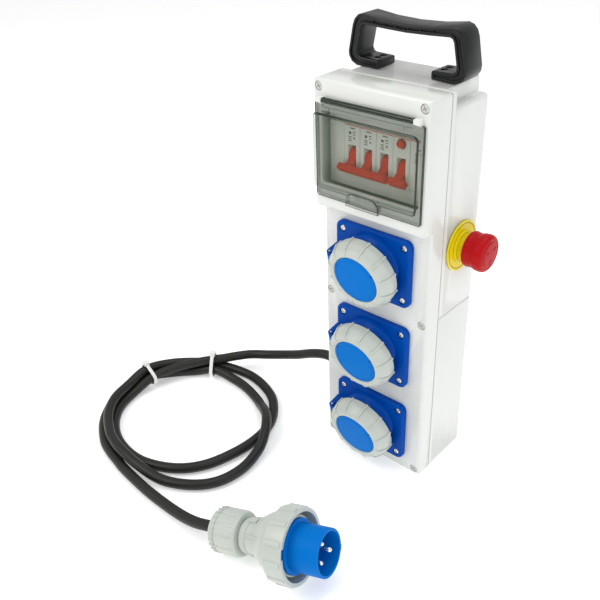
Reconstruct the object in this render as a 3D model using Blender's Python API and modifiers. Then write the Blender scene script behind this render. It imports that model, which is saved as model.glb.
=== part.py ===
"""Portable power distribution box: upright casing, breakers, three capped sockets, stop button, lead.

Units are metres, +Z is up and the front faces -Y. The origin is on the floor, under the middle of the
casing's footprint.
"""
import math

import bmesh
import bpy
from mathutils import Matrix, Vector

MM = 0.001
OBJECT_NAME = "portable_power_distribution_box"
GAP = 0.3 * MM                      # clearance between touching pieces

# Casing
BOX_WIDTH = 120 * MM
BOX_HEIGHT = 395 * MM
WALL = 3 * MM
BACK_Y = 38 * MM
PANEL_Y = -38 * MM                  # front of the lower socket panel
COVER_Y = -50.5 * MM                # front of the raised breaker cover
COVER_BOTTOM = 277 * MM
LID_REAR_Y = -21.0 * MM
TUB_FRONT_Y = -19.6 * MM
RIM_DEPTH = 5 * MM                  # full-height rim of the tub behind the seam
SHOULDER_DROP = 13.5 * MM           # the tub's side tops lie this far under the plateau
SHOULDER_WIDTH = 10 * MM
GROOVE_HEIGHT = 182.5 * MM
GROOVE_SIZE = 1.6 * MM

# Breaker row and its window
BREAKER_FRONT_Y = -38 * MM
RAIL_Y = 22 * MM
BREAKER_CENTRE_Z = 334 * MM
BREAKER_HEIGHT = 84 * MM
NOSE_HEIGHT = 45 * MM
POLE_PITCH = 17.4 * MM
FIRST_POLE_X = -27.4 * MM
TOGGLE_PIVOT_Z = 327 * MM
TOGGLE_PIVOT_Y = -30.5 * MM
TOGGLE_REST = math.radians(38)      # the levers' tips hang this far under the horizontal
TOGGLE_REACH = 18.5 * MM
APERTURE = (-52.2 * MM, 52.2 * MM, 301.5 * MM, 368 * MM)
WINDOW_HALF_WIDTH = 56.5 * MM
WINDOW_BOTTOM = 289 * MM
WINDOW_TOP = 375.8 * MM
WINDOW_THICKNESS = 2.2 * MM
BUBBLE = (-55 * MM, 55 * MM, 299 * MM, 368.5 * MM)
BUBBLE_DEPTH = 6 * MM
HINGE_Y = -53.6 * MM
HINGE_Z = 378.2 * MM
BARREL_X = 46.6 * MM               # half length of the window's hinge barrel
LUG_X = (-50.5 * MM, 50.5 * MM)

# Sockets
SOCKET_HEIGHTS = (49 * MM, 140 * MM, 231 * MM)
SOCKET_TILT = math.radians(11)
FLANGE_WIDTH = 84 * MM
FLANGE_HEIGHT = 68 * MM
FLANGE_THICKNESS = 5.5 * MM
FLANGE_SCREW_X = 34.5 * MM
FLANGE_SCREW_Z = 26.5 * MM
COLLAR_RADIUS = 26.5 * MM
BORE_RADIUS = 22.8 * MM
COLLAR_FRONT = 25 * MM              # along the socket's axis, from the panel
HOUSING_BACK = -30 * MM
RING_RADIUS = 36 * MM
RING_FRONT_RADIUS = 32.5 * MM
RING_BACK = 14 * MM
RING_FRONT = 31.5 * MM
DISC_RADIUS = 24 * MM
CAP_HINGE_X = -40.5 * MM
CAP_HINGE_S = 16 * MM

# Stop button on the right wall
STOP_Y = 9.5 * MM
STOP_Z = 248.5 * MM

# Carrying handle
HANDLE_Y = (-3 * MM, 22 * MM)

# Lead and plug
CABLE_DIAMETER = 11 * MM
GLAND_Y = 7 * MM
GLAND_Z = 57 * MM
PLUG_BACK = Vector((-32.5, -230.3, 19.7)) * MM   # middle of the plug's rear face
PLUG_YAW = math.radians(13.5)
PLUG_PITCH = math.radians(12.5)     # the plug leans back from its ring onto its nut
PLUG_KEY_TURN = math.radians(60)

COLOURS = {
    "casing": (0.80, 0.80, 0.76), "gasket": (0.03, 0.03, 0.03), "smoked": (0.30, 0.36, 0.30),
    "steel": (0.62, 0.62, 0.60), "breaker": (0.75, 0.76, 0.72), "red": (0.62, 0.03, 0.05),
    "socket_blue": (0.0, 0.08, 0.45), "cap_blue": (0.0, 0.18, 0.62), "grey": (0.62, 0.64, 0.60),
    "contact": (0.02, 0.10, 0.35), "yellow": (0.85, 0.70, 0.01), "black": (0.02, 0.02, 0.02),
    "rubber": (0.035, 0.035, 0.03), "chrome": (0.80, 0.80, 0.80), "tie": (0.85, 0.85, 0.85),
}


def fresh_collections():
    """Empty the scene and make one collection for the parts and one for the cutters."""
    for obj in list(bpy.data.objects):
        bpy.data.objects.remove(obj, do_unlink=True)
    made = []
    for name in (OBJECT_NAME, "cutters"):
        collection = bpy.data.collections.new(name)
        bpy.context.scene.collection.children.link(collection)
        made.append(collection)
    return made


PARTS, CUTTERS = fresh_collections()


def material(name, metallic=0.0, roughness=0.4):
    """Return a Principled material in one of the named colours."""
    found = bpy.data.materials.get(name)
    if found:
        return found
    mat = bpy.data.materials.new(name)
    mat.use_nodes = True
    shader = mat.node_tree.nodes["Principled BSDF"]
    shader.inputs["Base Color"].default_value = (*COLOURS[name], 1.0)
    shader.inputs["Metallic"].default_value = metallic
    shader.inputs["Roughness"].default_value = roughness
    return mat


def add(name, mesh, matrix=None):
    """Link a mesh as a scratch object; keep() or cut() decide what becomes of it."""
    obj = bpy.data.objects.new(name, mesh)
    CUTTERS.objects.link(obj)
    obj.hide_render = True
    obj.display_type = "WIRE"
    if matrix is not None:
        obj.matrix_world = matrix
    return obj


def keep(obj, name, colour, metallic=0.0, roughness=0.4, smooth=True):
    """Make an object a named part with its own material."""
    CUTTERS.objects.unlink(obj)
    PARTS.objects.link(obj)
    obj.name = name
    obj.hide_render = False
    obj.display_type = "TEXTURED"
    obj.data.materials.clear()
    obj.data.materials.append(material(colour, metallic, roughness))
    if smooth:
        obj.data.shade_smooth()
        obj.data.set_sharp_from_angle(angle=math.radians(35))
    return obj


def mesh_from(bm, name="shape"):
    mesh = bpy.data.meshes.new(name)
    bmesh.ops.recalc_face_normals(bm, faces=bm.faces)
    bm.to_mesh(mesh)
    bm.free()
    return mesh


def box(x, y, z, matrix=None):
    """Box between two limits on each axis."""
    bm = bmesh.new()
    bmesh.ops.create_cube(bm, size=1.0)
    size = Vector((x[1] - x[0], y[1] - y[0], z[1] - z[0]))
    middle = Vector((x[0] + x[1], y[0] + y[1], z[0] + z[1])) / 2
    bmesh.ops.scale(bm, vec=size, verts=bm.verts)
    bmesh.ops.translate(bm, vec=middle, verts=bm.verts)
    return add("box", mesh_from(bm), matrix)


def rod(start, end, radius, sides=16, end_radius=None, matrix=None):
    """Cylinder or cone between two points."""
    start, end = Vector(start), Vector(end)
    bm = bmesh.new()
    bmesh.ops.create_cone(bm, cap_ends=True, segments=sides, radius1=radius,
                          radius2=radius if end_radius is None else end_radius,
                          depth=(end - start).length)
    turn = (end - start).to_track_quat("Z", "Y").to_matrix().to_4x4()
    bmesh.ops.transform(bm, matrix=Matrix.Translation((start + end) / 2) @ turn, verts=bm.verts)
    return add("rod", mesh_from(bm), matrix)


def turned(profile, matrix=None, sides=24):
    """Turned solid about local Z from a closed profile of (radius, height) points."""
    area = sum(a[0] * b[1] - b[0] * a[1] for a, b in zip(profile, profile[1:] + profile[:1]))
    points = list(profile) if area < 0 else list(reversed(profile))
    on_axis = [i for i, p in enumerate(points) if p[0] == 0]
    closed = not on_axis
    if on_axis:                     # start at the end of the stretch that lies on the axis
        first = next(i for i in on_axis if (i + 1) % len(points) not in on_axis)
        points = points[first:] + points[:first]
    mesh = bpy.data.meshes.new("profile")
    edges = [(i, i + 1) for i in range(len(points) - 1)]
    if closed:
        edges.append((len(points) - 1, 0))
    mesh.from_pydata([(r, 0, h) for r, h in points], edges, [])
    obj = add("turned", mesh, matrix)
    screw = obj.modifiers.new("turn", "SCREW")
    screw.axis = "Z"
    screw.angle = math.tau
    screw.steps = sides
    screw.render_steps = sides
    screw.use_merge_vertices = True
    screw.merge_threshold = 0.00001
    return obj


def slab(outline, depth, matrix=None, round_radius=0.0, round_steps=4):
    """Flat plate on local XY from z = 0 to depth, its outline's corners rounded."""
    bm = bmesh.new()
    verts = [bm.verts.new((x, y, 0)) for x, y in outline]
    face = bm.faces.new(verts)
    if round_radius:
        bmesh.ops.bevel(bm, geom=list(bm.verts), offset=round_radius, segments=round_steps,
                        profile=0.5, affect="VERTICES")
    faces = list(bm.faces)
    moved = bmesh.ops.extrude_face_region(bm, geom=faces)["geom"]
    bmesh.ops.translate(bm, vec=(0, 0, depth), verts=[v for v in moved if isinstance(v, bmesh.types.BMVert)])
    return add("slab", mesh_from(bm), matrix)


def rectangle(width, height, centre=(0, 0)):
    cx, cy = centre
    return [(cx + sx * width / 2, cy + sy * height / 2) for sx, sy in ((-1, -1), (1, -1), (1, 1), (-1, 1))]


def boolean(obj, other, operation):
    mod = obj.modifiers.new(operation.lower(), "BOOLEAN")
    mod.operation = operation
    mod.solver = "EXACT"
    mod.object = other
    return obj


def cut(obj, *others):
    for other in others:
        boolean(obj, other, "DIFFERENCE")
    return obj


def join(obj, *others):
    for other in others:
        boolean(obj, other, "UNION")
    return obj


def bevel(obj, width, segments=2, angle=50):
    mod = obj.modifiers.new("bevel", "BEVEL")
    mod.width = width
    mod.segments = segments
    mod.limit_method = "ANGLE"
    mod.angle_limit = math.radians(angle)
    return obj


def axes(origin, z_axis, x_axis):
    """Matrix whose local Z and X point along two directions."""
    z = Vector(z_axis).normalized()
    x = Vector(x_axis)
    x = (x - z * x.dot(z)).normalized()
    y = z.cross(x)
    turn = Matrix((x, y, z)).transposed().to_4x4()
    return Matrix.Translation(Vector(origin)) @ turn


def move_origin(obj, point):
    """Put an object's origin on its joint's axis without moving its shape."""
    shift = Matrix.Translation(obj.matrix_world.inverted() @ Vector(point))
    obj.data.transform(shift.inverted())
    obj.matrix_world = obj.matrix_world @ shift


# ---------------------------------------------------------------- casing

LID_SCREWS = [(sx * x * MM, z * MM) for x, z in ((54, 388.5), (53.5, 182.5), (53.5, 6.6)) for sx in (-1, 1)]


def lid_front(z):
    return COVER_Y if z > COVER_BOTTOM else PANEL_Y


def round_edges(obj, width, segments, wanted):
    """Bevel the edges of a plain mesh whose middle and direction pass a test."""
    bm = bmesh.new()
    bm.from_mesh(obj.data)
    edges = [e for e in bm.edges if wanted((e.verts[0].co + e.verts[1].co) / 2, e.verts[1].co - e.verts[0].co)]
    bmesh.ops.bevel(bm, geom=edges, offset=width, segments=segments, profile=0.5, affect="EDGES")
    bm.to_mesh(obj.data)
    bm.free()
    return obj


def side_profile(outline, half_width):
    """Solid between two vertical side planes, from its outline in Y and Z."""
    return slab(outline, 2 * half_width, axes((-half_width, 0, 0), (1, 0, 0), (0, 1, 0)))


def build_tub():
    half = BOX_WIDTH / 2
    proud = 0.3 * MM                # the rim stands this far proud of the tub's sides
    top = BOX_HEIGHT - SHOULDER_DROP
    y0, y1 = TUB_FRONT_Y + 2 * proud, BACK_Y
    tub = box((proud - half, half - proud), (y0, y1), (0, top))
    round_edges(tub, 4 * MM, 3, lambda middle, along: middle.y > y0 + MM)
    shelf = half - SHOULDER_WIDTH
    plateau = box((-shelf, shelf), (y0 + proud, y1 - proud), (top - 9 * MM, BOX_HEIGHT - proud))
    round_edges(plateau, 2.5 * MM, 2, lambda middle, along: middle.y > y0 + MM and middle.z > top)
    rim = box((-half, half), (TUB_FRONT_Y, TUB_FRONT_Y + RIM_DEPTH), (proud, BOX_HEIGHT))
    round_edges(rim, 3 * MM, 3, lambda middle, along: abs(along.y) > MM)
    join(tub, plateau, rim)
    inner = half - WALL
    cut(tub, box((-inner, inner), (TUB_FRONT_Y - WALL, y1 - WALL), (WALL, top - WALL)),
        box((WALL - shelf, shelf - WALL), (TUB_FRONT_Y - 2 * WALL, y1 - 1.5 * WALL), (top - 2 * WALL, BOX_HEIGHT - WALL)))
    reach = half + WALL
    for start, end in (((-half, -reach, 0), (-half, reach, 0)), ((half, -reach, 0), (half, reach, 0)),
                       ((-reach, BACK_Y, 0), (reach, BACK_Y, 0))):
        lift = Vector((0, 0, GROOVE_HEIGHT))
        cut(tub, rod(Vector(start) + lift, Vector(end) + lift, GROOVE_SIZE, 4))
    for x, z in LID_SCREWS:
        if z < top:
            join(tub, rod((x, TUB_FRONT_Y + proud, z), (x, BACK_Y - WALL / 2, z), 5 * MM, 12))
    for x, z in LID_SCREWS:
        depth = RIM_DEPTH - MM if z > top else 12 * MM
        cut(tub, rod((x, TUB_FRONT_Y - MM, z), (x, TUB_FRONT_Y + depth, z), 1.9 * MM, 8))
    for x in (-40 * MM, 40 * MM):
        join(tub, box((x - 4 * MM, x + 4 * MM), (RAIL_Y + 8.8 * MM, BACK_Y - WALL / 2),
                      (BREAKER_CENTRE_Z - 22 * MM, BREAKER_CENTRE_Z + 22 * MM)))
    cut(tub, rod((-half - MM, GLAND_Y, GLAND_Z), (-half + 5 * MM, GLAND_Y, GLAND_Z), 13 * MM, 24))
    cut(tub, rod((half - 5 * MM, STOP_Y, STOP_Z), (half + MM, STOP_Y, STOP_Z), 11.3 * MM, 24))
    return keep(tub, "base_tub", "casing")


def build_lid():
    half = BOX_WIDTH / 2
    w = WALL
    lid = side_profile([(PANEL_Y, 0), (LID_REAR_Y, 0), (LID_REAR_Y, BOX_HEIGHT), (COVER_Y, BOX_HEIGHT),
                        (COVER_Y, COVER_BOTTOM), (PANEL_Y, COVER_BOTTOM)], half)

    def outer_edge(middle, along):
        place = lid.matrix_world @ middle
        inside_corner = abs(place.y - PANEL_Y) < w / 9 and abs(place.z - COVER_BOTTOM) < w / 9
        return place.y < LID_REAR_Y - w / 9 and not inside_corner

    round_edges(lid, 3 * MM, 3, outer_edge)
    cut(lid, side_profile([(PANEL_Y + w, w), (LID_REAR_Y + w, w), (LID_REAR_Y + w, BOX_HEIGHT - w),
                           (COVER_Y + w, BOX_HEIGHT - w), (COVER_Y + w, COVER_BOTTOM + w),
                           (PANEL_Y + w, COVER_BOTTOM + w)], half - w))
    for x, z in LID_SCREWS:
        join(lid, rod((x, lid_front(z) + w / 2, z), (x, LID_REAR_Y - w / 6, z), 5.2 * MM, 12))
    for x, z in LID_SCREWS:
        front = lid_front(z)
        cut(lid, rod((x, front - MM, z), (x, LID_REAR_Y + MM, z), 2 * MM, 8),
            rod((x, front - MM, z), (x, front + 3 * MM, z), 4.3 * MM, 16))
    x0, x1, z0, z1 = APERTURE
    place = axes((0, COVER_Y + 2 * w, 0), (0, -1, 0), (1, 0, 0))
    cut(lid, slab(rectangle(x1 - x0, z1 - z0, (0, (z0 + z1) / 2)), 4 * w, place, 3 * MM, 2))
    for x in LUG_X:
        join(lid, box((x - 3 * MM, x + 3 * MM), (HINGE_Y - 2.4 * MM, COVER_Y + w / 2),
                      (HINGE_Z - 1.8 * MM, HINGE_Z + 2.4 * MM)))
    join(lid, rod((LUG_X[0], HINGE_Y, HINGE_Z), (LUG_X[-1], HINGE_Y, HINGE_Z), 1.15 * MM, 12))
    for z in SOCKET_HEIGHTS:
        cut(lid, box((-28 * MM, 28 * MM), (PANEL_Y - MM, PANEL_Y + 2 * w), (z - 28 * MM, z + 28 * MM)))
        for sx in (-1, 1):
            for sz in (-1, 1):
                x, dz = sx * FLANGE_SCREW_X, sz * FLANGE_SCREW_Z
                cut(lid, rod((x, PANEL_Y - MM, z + dz), (x, PANEL_Y + 2 * w, z + dz), 1.9 * MM, 8))
    return keep(lid, "front_lid", "casing")


def build_gasket():
    half = BOX_WIDTH / 2 - 0.8 * MM
    y = (LID_REAR_Y + GAP, TUB_FRONT_Y - GAP)
    gasket = box((-half, half), y, (0.8 * MM, BOX_HEIGHT - 0.8 * MM))
    inner = half - 1.6 * MM
    cut(gasket, box((-inner, inner), (y[0] - MM, y[1] + MM), (2.4 * MM, BOX_HEIGHT - 2.4 * MM)))
    return keep(gasket, "lid_gasket", "gasket", smooth=False)


def screw(name, x, y, z, head_radius, shank_radius, length, slotted=True, colour="steel"):
    """Screw whose head's front is at y, driven along +Y."""
    head = rod((x, y, z), (x, y + 2.4 * MM, z), head_radius, 10)
    join(head, rod((x, y + 2 * MM, z), (x, y + length, z), shank_radius, 8))
    if slotted:
        turn = Matrix.Rotation(math.radians(45), 4, "Y")
        cut(head, box((-head_radius, head_radius), (-MM, 0.8 * MM), (-0.5 * MM, 0.5 * MM),
                      Matrix.Translation((x, y, z)) @ turn))
    return keep(head, name, colour)


def build_lid_screws():
    for i, (x, z) in enumerate(LID_SCREWS):
        row, side = ("top", "middle", "bottom")[i // 2], ("left", "right")[i % 2]
        front = lid_front(z) + 0.3 * MM
        length = (TUB_FRONT_Y + 3.4 * MM) - front
        screw(f"lid_screw_{row}_{side}", x, front, z, 3.9 * MM, 1.5 * MM, length, colour="casing")


# ---------------------------------------------------------------- window and breakers

def build_window():
    back = COVER_Y - 0.4 * MM
    front = back - WINDOW_THICKNESS
    plate = box((-WINDOW_HALF_WIDTH, WINDOW_HALF_WIDTH), (front, back), (WINDOW_BOTTOM, WINDOW_TOP))
    bevel(plate, 0.7 * MM, 1)
    x0, x1, z0, z1 = BUBBLE
    place = axes((0, back - MM, 0), (0, -1, 0), (1, 0, 0))
    depth = BUBBLE_DEPTH + WINDOW_THICKNESS - MM
    shell = slab(rectangle(x1 - x0, z1 - z0, (0, (z0 + z1) / 2)), depth, place, 5 * MM, 3)
    bevel(shell, 1.6 * MM, 2)
    thin = WINDOW_THICKNESS
    inside = slab(rectangle(x1 - x0 - 2 * thin, z1 - z0 - 2 * thin, (0, (z0 + z1) / 2)), BUBBLE_DEPTH + MM,
                  axes((0, back + MM, 0), (0, -1, 0), (1, 0, 0)), 4 * MM, 3)
    join(plate, shell)
    clip = box((-23 * MM, 23 * MM), (front - 4 * MM, back - MM), (290.5 * MM, 299.5 * MM))
    bevel(clip, 1.2 * MM, 1)
    scoop = box((-18 * MM, 18 * MM), (front - 6 * MM, front - 0.4 * MM), (293 * MM, 297 * MM))
    join(plate, clip)
    cut(plate, inside, scoop)
    join(plate, rod((-BARREL_X, HINGE_Y, HINGE_Z), (BARREL_X, HINGE_Y, HINGE_Z), 2.6 * MM, 16),
         box((-BARREL_X, BARREL_X), (HINGE_Y - 2 * MM, back), (WINDOW_TOP - 3 * MM, HINGE_Z - MM)))
    cut(plate, rod((-50 * MM, HINGE_Y, HINGE_Z), (50 * MM, HINGE_Y, HINGE_Z), 1.5 * MM, 12))
    for x in LUG_X:
        cut(plate, box((x - 3.6 * MM, x + 3.6 * MM), (front - MM, back + MM), (WINDOW_TOP - 2.2 * MM, HINGE_Z)))
    keep(plate, "breaker_window", "smoked", roughness=0.1)


def build_rail():
    z0, z1 = BREAKER_CENTRE_Z - 17.5 * MM, BREAKER_CENTRE_Z + 17.5 * MM
    x = (-51 * MM, 51 * MM)
    rail = box(x, (RAIL_Y + GAP, RAIL_Y + 8.5 * MM), (z0, z1))
    step = MM
    cut(rail, box((-60 * MM, 60 * MM), (RAIL_Y - MM, RAIL_Y + 7.5 * MM), (z0 + 5 * MM, z1 - 5 * MM)))
    for low, high in ((z0 - step, z0 + 4 * MM), (z1 - 4 * MM, z1 + step)):
        cut(rail, box((-60 * MM, 60 * MM), (RAIL_Y + GAP + step, RAIL_Y + 9 * MM), (low, high)))
    return keep(rail, "din_rail", "steel", 1.0, 0.35, smooth=False)


def breaker_body(name, x0, x1, toggle_xs, slot_half_width):
    """Stepped breaker housing with a slot for each toggle."""
    zc = BREAKER_CENTRE_Z
    body = box((x0, x1), (BREAKER_FRONT_Y + 17 * MM, RAIL_Y - GAP), (zc - BREAKER_HEIGHT / 2, zc + BREAKER_HEIGHT / 2))
    nose = box((x0, x1), (BREAKER_FRONT_Y, 0), (zc - NOSE_HEIGHT / 2, zc + NOSE_HEIGHT / 2))
    join(body, nose)
    for x in toggle_xs:
        cut(body, box((x - slot_half_width, x + slot_half_width), (BREAKER_FRONT_Y - MM, BREAKER_FRONT_Y + 15.8 * MM),
                      (TOGGLE_PIVOT_Z - 11 * MM, TOGGLE_PIVOT_Z + 11 * MM)))
    return body


def toggle(name, xs, bar_x):
    """Lever or ganged levers on one pivot with a link bar across their tips. They hang down, off."""
    pivot = (0, TOGGLE_PIVOT_Y, TOGGLE_PIVOT_Z)
    swung = Matrix.Translation(pivot) @ Matrix.Rotation(TOGGLE_REST, 4, "X")
    half = 4 * MM
    shape = box(bar_x, (-TOGGLE_REACH, -13.2 * MM), (-3.4 * MM, 3.4 * MM), swung)
    for x in xs:
        join(shape, rod((x - half, *pivot[1:]), (x + half, *pivot[1:]), 7.2 * MM, 20, matrix=swung @
                        Matrix.Translation(pivot).inverted()),
             box((x - half, x + half), (MM - TOGGLE_REACH, 0), (-2.9 * MM, 2.9 * MM), swung))
    return keep(shape, name, "red")


def build_breakers():
    poles = [FIRST_POLE_X + i * POLE_PITCH for i in range(3)]
    half = POLE_PITCH / 2
    left, right = poles[0] - half, poles[2] + half
    body = breaker_body("mcb", left, right, poles, 4.4 * MM)
    keep(body, "breaker_body_3_pole", "breaker", smooth=False)
    toggle("breaker_toggle_3_pole", poles, (poles[0] - 11 * MM, poles[2] + 6.5 * MM))
    x = 25 * MM
    rcd = breaker_body("rcd", right + GAP, 51.6 * MM, [x], 4.4 * MM)
    cut(rcd, rod((x, BREAKER_FRONT_Y - MM, 350.5 * MM), (x, BREAKER_FRONT_Y + 8 * MM, 350.5 * MM), 4.4 * MM, 16))
    keep(rcd, "rcbo_body", "breaker", smooth=False)
    toggle("rcbo_toggle", [x], (x - 8 * MM, x + 8.5 * MM))
    button = rod((x, BREAKER_FRONT_Y - 3 * MM, 350.5 * MM), (x, BREAKER_FRONT_Y + 5.5 * MM, 350.5 * MM), 3.9 * MM, 16)
    keep(button, "rcbo_test_button", "red")
    blank = box((-52 * MM, left - GAP), (BREAKER_FRONT_Y, BREAKER_FRONT_Y + 40 * MM),
                (BREAKER_CENTRE_Z - NOSE_HEIGHT / 2, BREAKER_CENTRE_Z + NOSE_HEIGHT / 2))
    cut(blank, box((-51 * MM, left - GAP - MM), (BREAKER_FRONT_Y + MM, BREAKER_FRONT_Y + 60 * MM),
                   (BREAKER_CENTRE_Z - NOSE_HEIGHT / 2 + MM, BREAKER_CENTRE_Z + NOSE_HEIGHT / 2 - MM)))
    keep(blank, "blanking_strip", "breaker", smooth=False)


# ---------------------------------------------------------------- sockets

def socket_frame(z):
    """Local Z is the socket's axis pointing out and down, local X is the box's +X."""
    tilt = SOCKET_TILT
    return axes((0, PANEL_Y, z), (0, -math.cos(tilt), -math.sin(tilt)), (1, 0, 0))


def build_socket(index, z):
    frame = socket_frame(z)
    flange = slab(rectangle(FLANGE_WIDTH, FLANGE_HEIGHT), FLANGE_THICKNESS - GAP,
                  axes((0, PANEL_Y - GAP, z), (0, -1, 0), (1, 0, 0)), 7 * MM, 3)
    bevel(flange, 1.8 * MM, 1)
    wedge = turned([(0, -8 * MM), (31 * MM, -8 * MM), (31 * MM, 4 * MM), (COLLAR_RADIUS, 9 * MM),
                    (COLLAR_RADIUS, COLLAR_FRONT), (0, COLLAR_FRONT)], frame)
    shell_back = HOUSING_BACK
    housing = rod((0, 0, shell_back), (0, 0, 2 * MM), 25.8 * MM, 24, matrix=frame)
    bore = turned([(16.8 * MM, shell_back + 3 * MM), (BORE_RADIUS, shell_back + 3 * MM),
                   (BORE_RADIUS, COLLAR_FRONT + MM), (0, COLLAR_FRONT + MM), (0, shell_back + 6 * MM),
                   (16.8 * MM, shell_back + 6 * MM)], frame)
    cut(wedge, box((-45 * MM, 45 * MM), (PANEL_Y - GAP - MM, PANEL_Y + 40 * MM), (z - 45 * MM, z + 45 * MM)))
    join(flange, wedge, housing)
    for low, high in ((-9.5 * MM, -5.2 * MM), (5.2 * MM, 9.5 * MM)):
        cheek = box((CAP_HINGE_X - 2.6 * MM, CAP_HINGE_X + 2.6 * MM), (low, high), (2 * MM, CAP_HINGE_S + 2.6 * MM), frame)
        join(flange, cheek)
    cut(flange, bore)
    cut(flange, rod((CAP_HINGE_X, -12 * MM, CAP_HINGE_S), (CAP_HINGE_X, 12 * MM, CAP_HINGE_S), 1.5 * MM, 8,
                    matrix=frame))
    for sx in (-1, 1):
        for sz in (-1, 1):
            x, zz = sx * FLANGE_SCREW_X, z + sz * FLANGE_SCREW_Z
            front = PANEL_Y - FLANGE_THICKNESS
            cut(flange, rod((x, front - MM, zz), (x, PANEL_Y + MM, zz), 1.9 * MM, 8),
                rod((x, front - MM, zz), (x, front + 3 * MM, zz), 3.6 * MM, 8))
            side, row = ("left" if sx < 0 else "right"), ("lower" if sz < 0 else "upper")
            screw(f"socket_{index}_screw_{row}_{side}", x, front + MM / 4, zz, 3.2 * MM, 1.4 * MM, 10.5 * MM, slotted=False)
    keep(flange, f"socket_{index}_body", "socket_blue")

    insert = rod((0, 0, shell_back + 6 * MM + GAP), (0, 0, COLLAR_FRONT - 11 * MM), 17 * MM, 20, matrix=frame)
    for turn in (-90, 30, 150):
        a = math.radians(turn)
        p = Vector((9.5 * MM * math.cos(a), 9.5 * MM * math.sin(a), 0))
        cut(insert, rod(p + Vector((0, 0, -12 * MM)), p + Vector((0, 0, COLLAR_FRONT)), 2.9 * MM, 8, matrix=frame))
    keep(insert, f"socket_{index}_contact_insert", "contact")

    rim = COLLAR_FRONT + GAP
    cap = turned([(0, rim), (29.2 * MM, rim), (29.2 * MM, rim + 2 * MM), (DISC_RADIUS - GAP, rim + 2 * MM),
                  (DISC_RADIUS - GAP, RING_FRONT - 0.6 * MM), (0, RING_FRONT - 0.2 * MM)], frame)
    strap = box((-29 * MM, -27.6 * MM), (-5 * MM, 5 * MM), (11.8 * MM, rim + MM), frame)
    arm = box((CAP_HINGE_X, -27.6 * MM), (-4.8 * MM, 4.8 * MM), (11.8 * MM, 13.6 * MM), frame)
    knuckle = rod((CAP_HINGE_X, -4.8 * MM, CAP_HINGE_S), (CAP_HINGE_X, 4.8 * MM, CAP_HINGE_S), 2.6 * MM, 12, matrix=frame)
    stem = box((CAP_HINGE_X - 2.2 * MM, CAP_HINGE_X + 2.2 * MM), (-4.8 * MM, 4.8 * MM), (11.8 * MM, CAP_HINGE_S), frame)
    join(cap, strap, arm, stem, knuckle)
    cut(cap, rod((CAP_HINGE_X, -12 * MM, CAP_HINGE_S), (CAP_HINGE_X, 12 * MM, CAP_HINGE_S), 1.5 * MM, 8,
                 matrix=frame))
    keep(cap, f"socket_{index}_cap", "cap_blue")
    pin = rod((CAP_HINGE_X, -9.3 * MM, CAP_HINGE_S), (CAP_HINGE_X, 9.3 * MM, CAP_HINGE_S), 1.1 * MM, 8, matrix=frame)
    keep(pin, f"socket_{index}_cap_hinge_pin", "steel", 1.0, 0.3)

    ring = turned([(29.8 * MM, RING_BACK), (RING_RADIUS - MM, RING_BACK), (RING_RADIUS, RING_BACK + MM),
                   (RING_FRONT_RADIUS, RING_FRONT - 1.5 * MM), (RING_FRONT_RADIUS - 1.5 * MM, RING_FRONT),
                   (DISC_RADIUS, RING_FRONT), (DISC_RADIUS, rim + 2.4 * MM), (29.8 * MM, rim + 2.4 * MM)], frame, 32)
    keep(ring, f"socket_{index}_lock_ring", "grey")


# ---------------------------------------------------------------- stop button, handle, gland

def build_stop_button():
    wall = BOX_WIDTH / 2
    frame = axes((wall, STOP_Y, STOP_Z), (1, 0, 0), (0, 1, 0))
    plate = turned([(11.4 * MM, GAP), (24 * MM, GAP), (24 * MM, 1.2 * MM), (23.4 * MM, 1.8 * MM),
                    (11.4 * MM, 1.8 * MM)], frame)
    keep(plate, "stop_legend_plate", "yellow")
    bezel = turned([(7.2 * MM, -14 * MM), (10.8 * MM, -14 * MM), (10.8 * MM, 2.1 * MM), (15.5 * MM, 2.1 * MM),
                    (15.5 * MM, 3.8 * MM), (14.5 * MM, 4.4 * MM), (12.4 * MM, 4.4 * MM), (12.4 * MM, 12 * MM),
                    (7.2 * MM, 12 * MM)], frame)
    keep(bezel, "stop_button_bezel", "yellow")
    plunger = rod((0, 0, -17.5 * MM), (0, 0, 17.9 * MM), 6.8 * MM, 16, matrix=frame)
    keep(plunger, "stop_button_plunger", "black")
    head = turned([(13.2 * MM, 10 * MM), (15.6 * MM, 10 * MM), (16.2 * MM, 10.6 * MM), (16.2 * MM, 13 * MM),
                   (15.2 * MM, 14.5 * MM), (15.2 * MM, 19.5 * MM), (17.4 * MM, 21.5 * MM), (17.6 * MM, 26 * MM),
                   (16.6 * MM, 28.8 * MM), (13 * MM, 30.5 * MM), (0, 31 * MM), (0, 18.2 * MM),
                   (13.2 * MM, 18.2 * MM)], frame)
    keep(head, "stop_button_head", "red")
    block = box((-15 * MM, 15 * MM), (-20 * MM, 20 * MM), (-44 * MM, -23.5 * MM), frame)
    join(block, turned([(7.2 * MM, -24 * MM), (10.8 * MM, -24 * MM), (10.8 * MM, -14.3 * MM), (7.2 * MM, -14.3 * MM)],
                       frame, 24))
    keep(block, "stop_contact_block", "black")


def build_handle():
    y0, y1 = HANDLE_Y
    half = [(0, 429.4), (22, 430), (42, 431), (44.6, 430), (46, 427.5), (50, 408), (49.2, 405), (46.5, 403.6),
            (26.5, 403), (26.5, 395.4), (50.8, 395.4), (56.5, 398.2), (59.6, 403), (60, 407.5), (55.6, 430),
            (53.6, 435), (50, 438.6), (45.5, 440), (24, 437.3), (0, 436.3)]
    outer = half + [(-x, z) for x, z in reversed(half[1:-1])]
    outline = [(x * MM, z * MM) for x, z in outer]
    handle = slab(list(reversed(outline)), y1 - y0, axes((0, y1, 0), (0, -1, 0), (1, 0, 0)))
    bevel(handle, 1.6 * MM, 2, 40)
    return keep(handle, "carrying_handle", "black")


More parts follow.
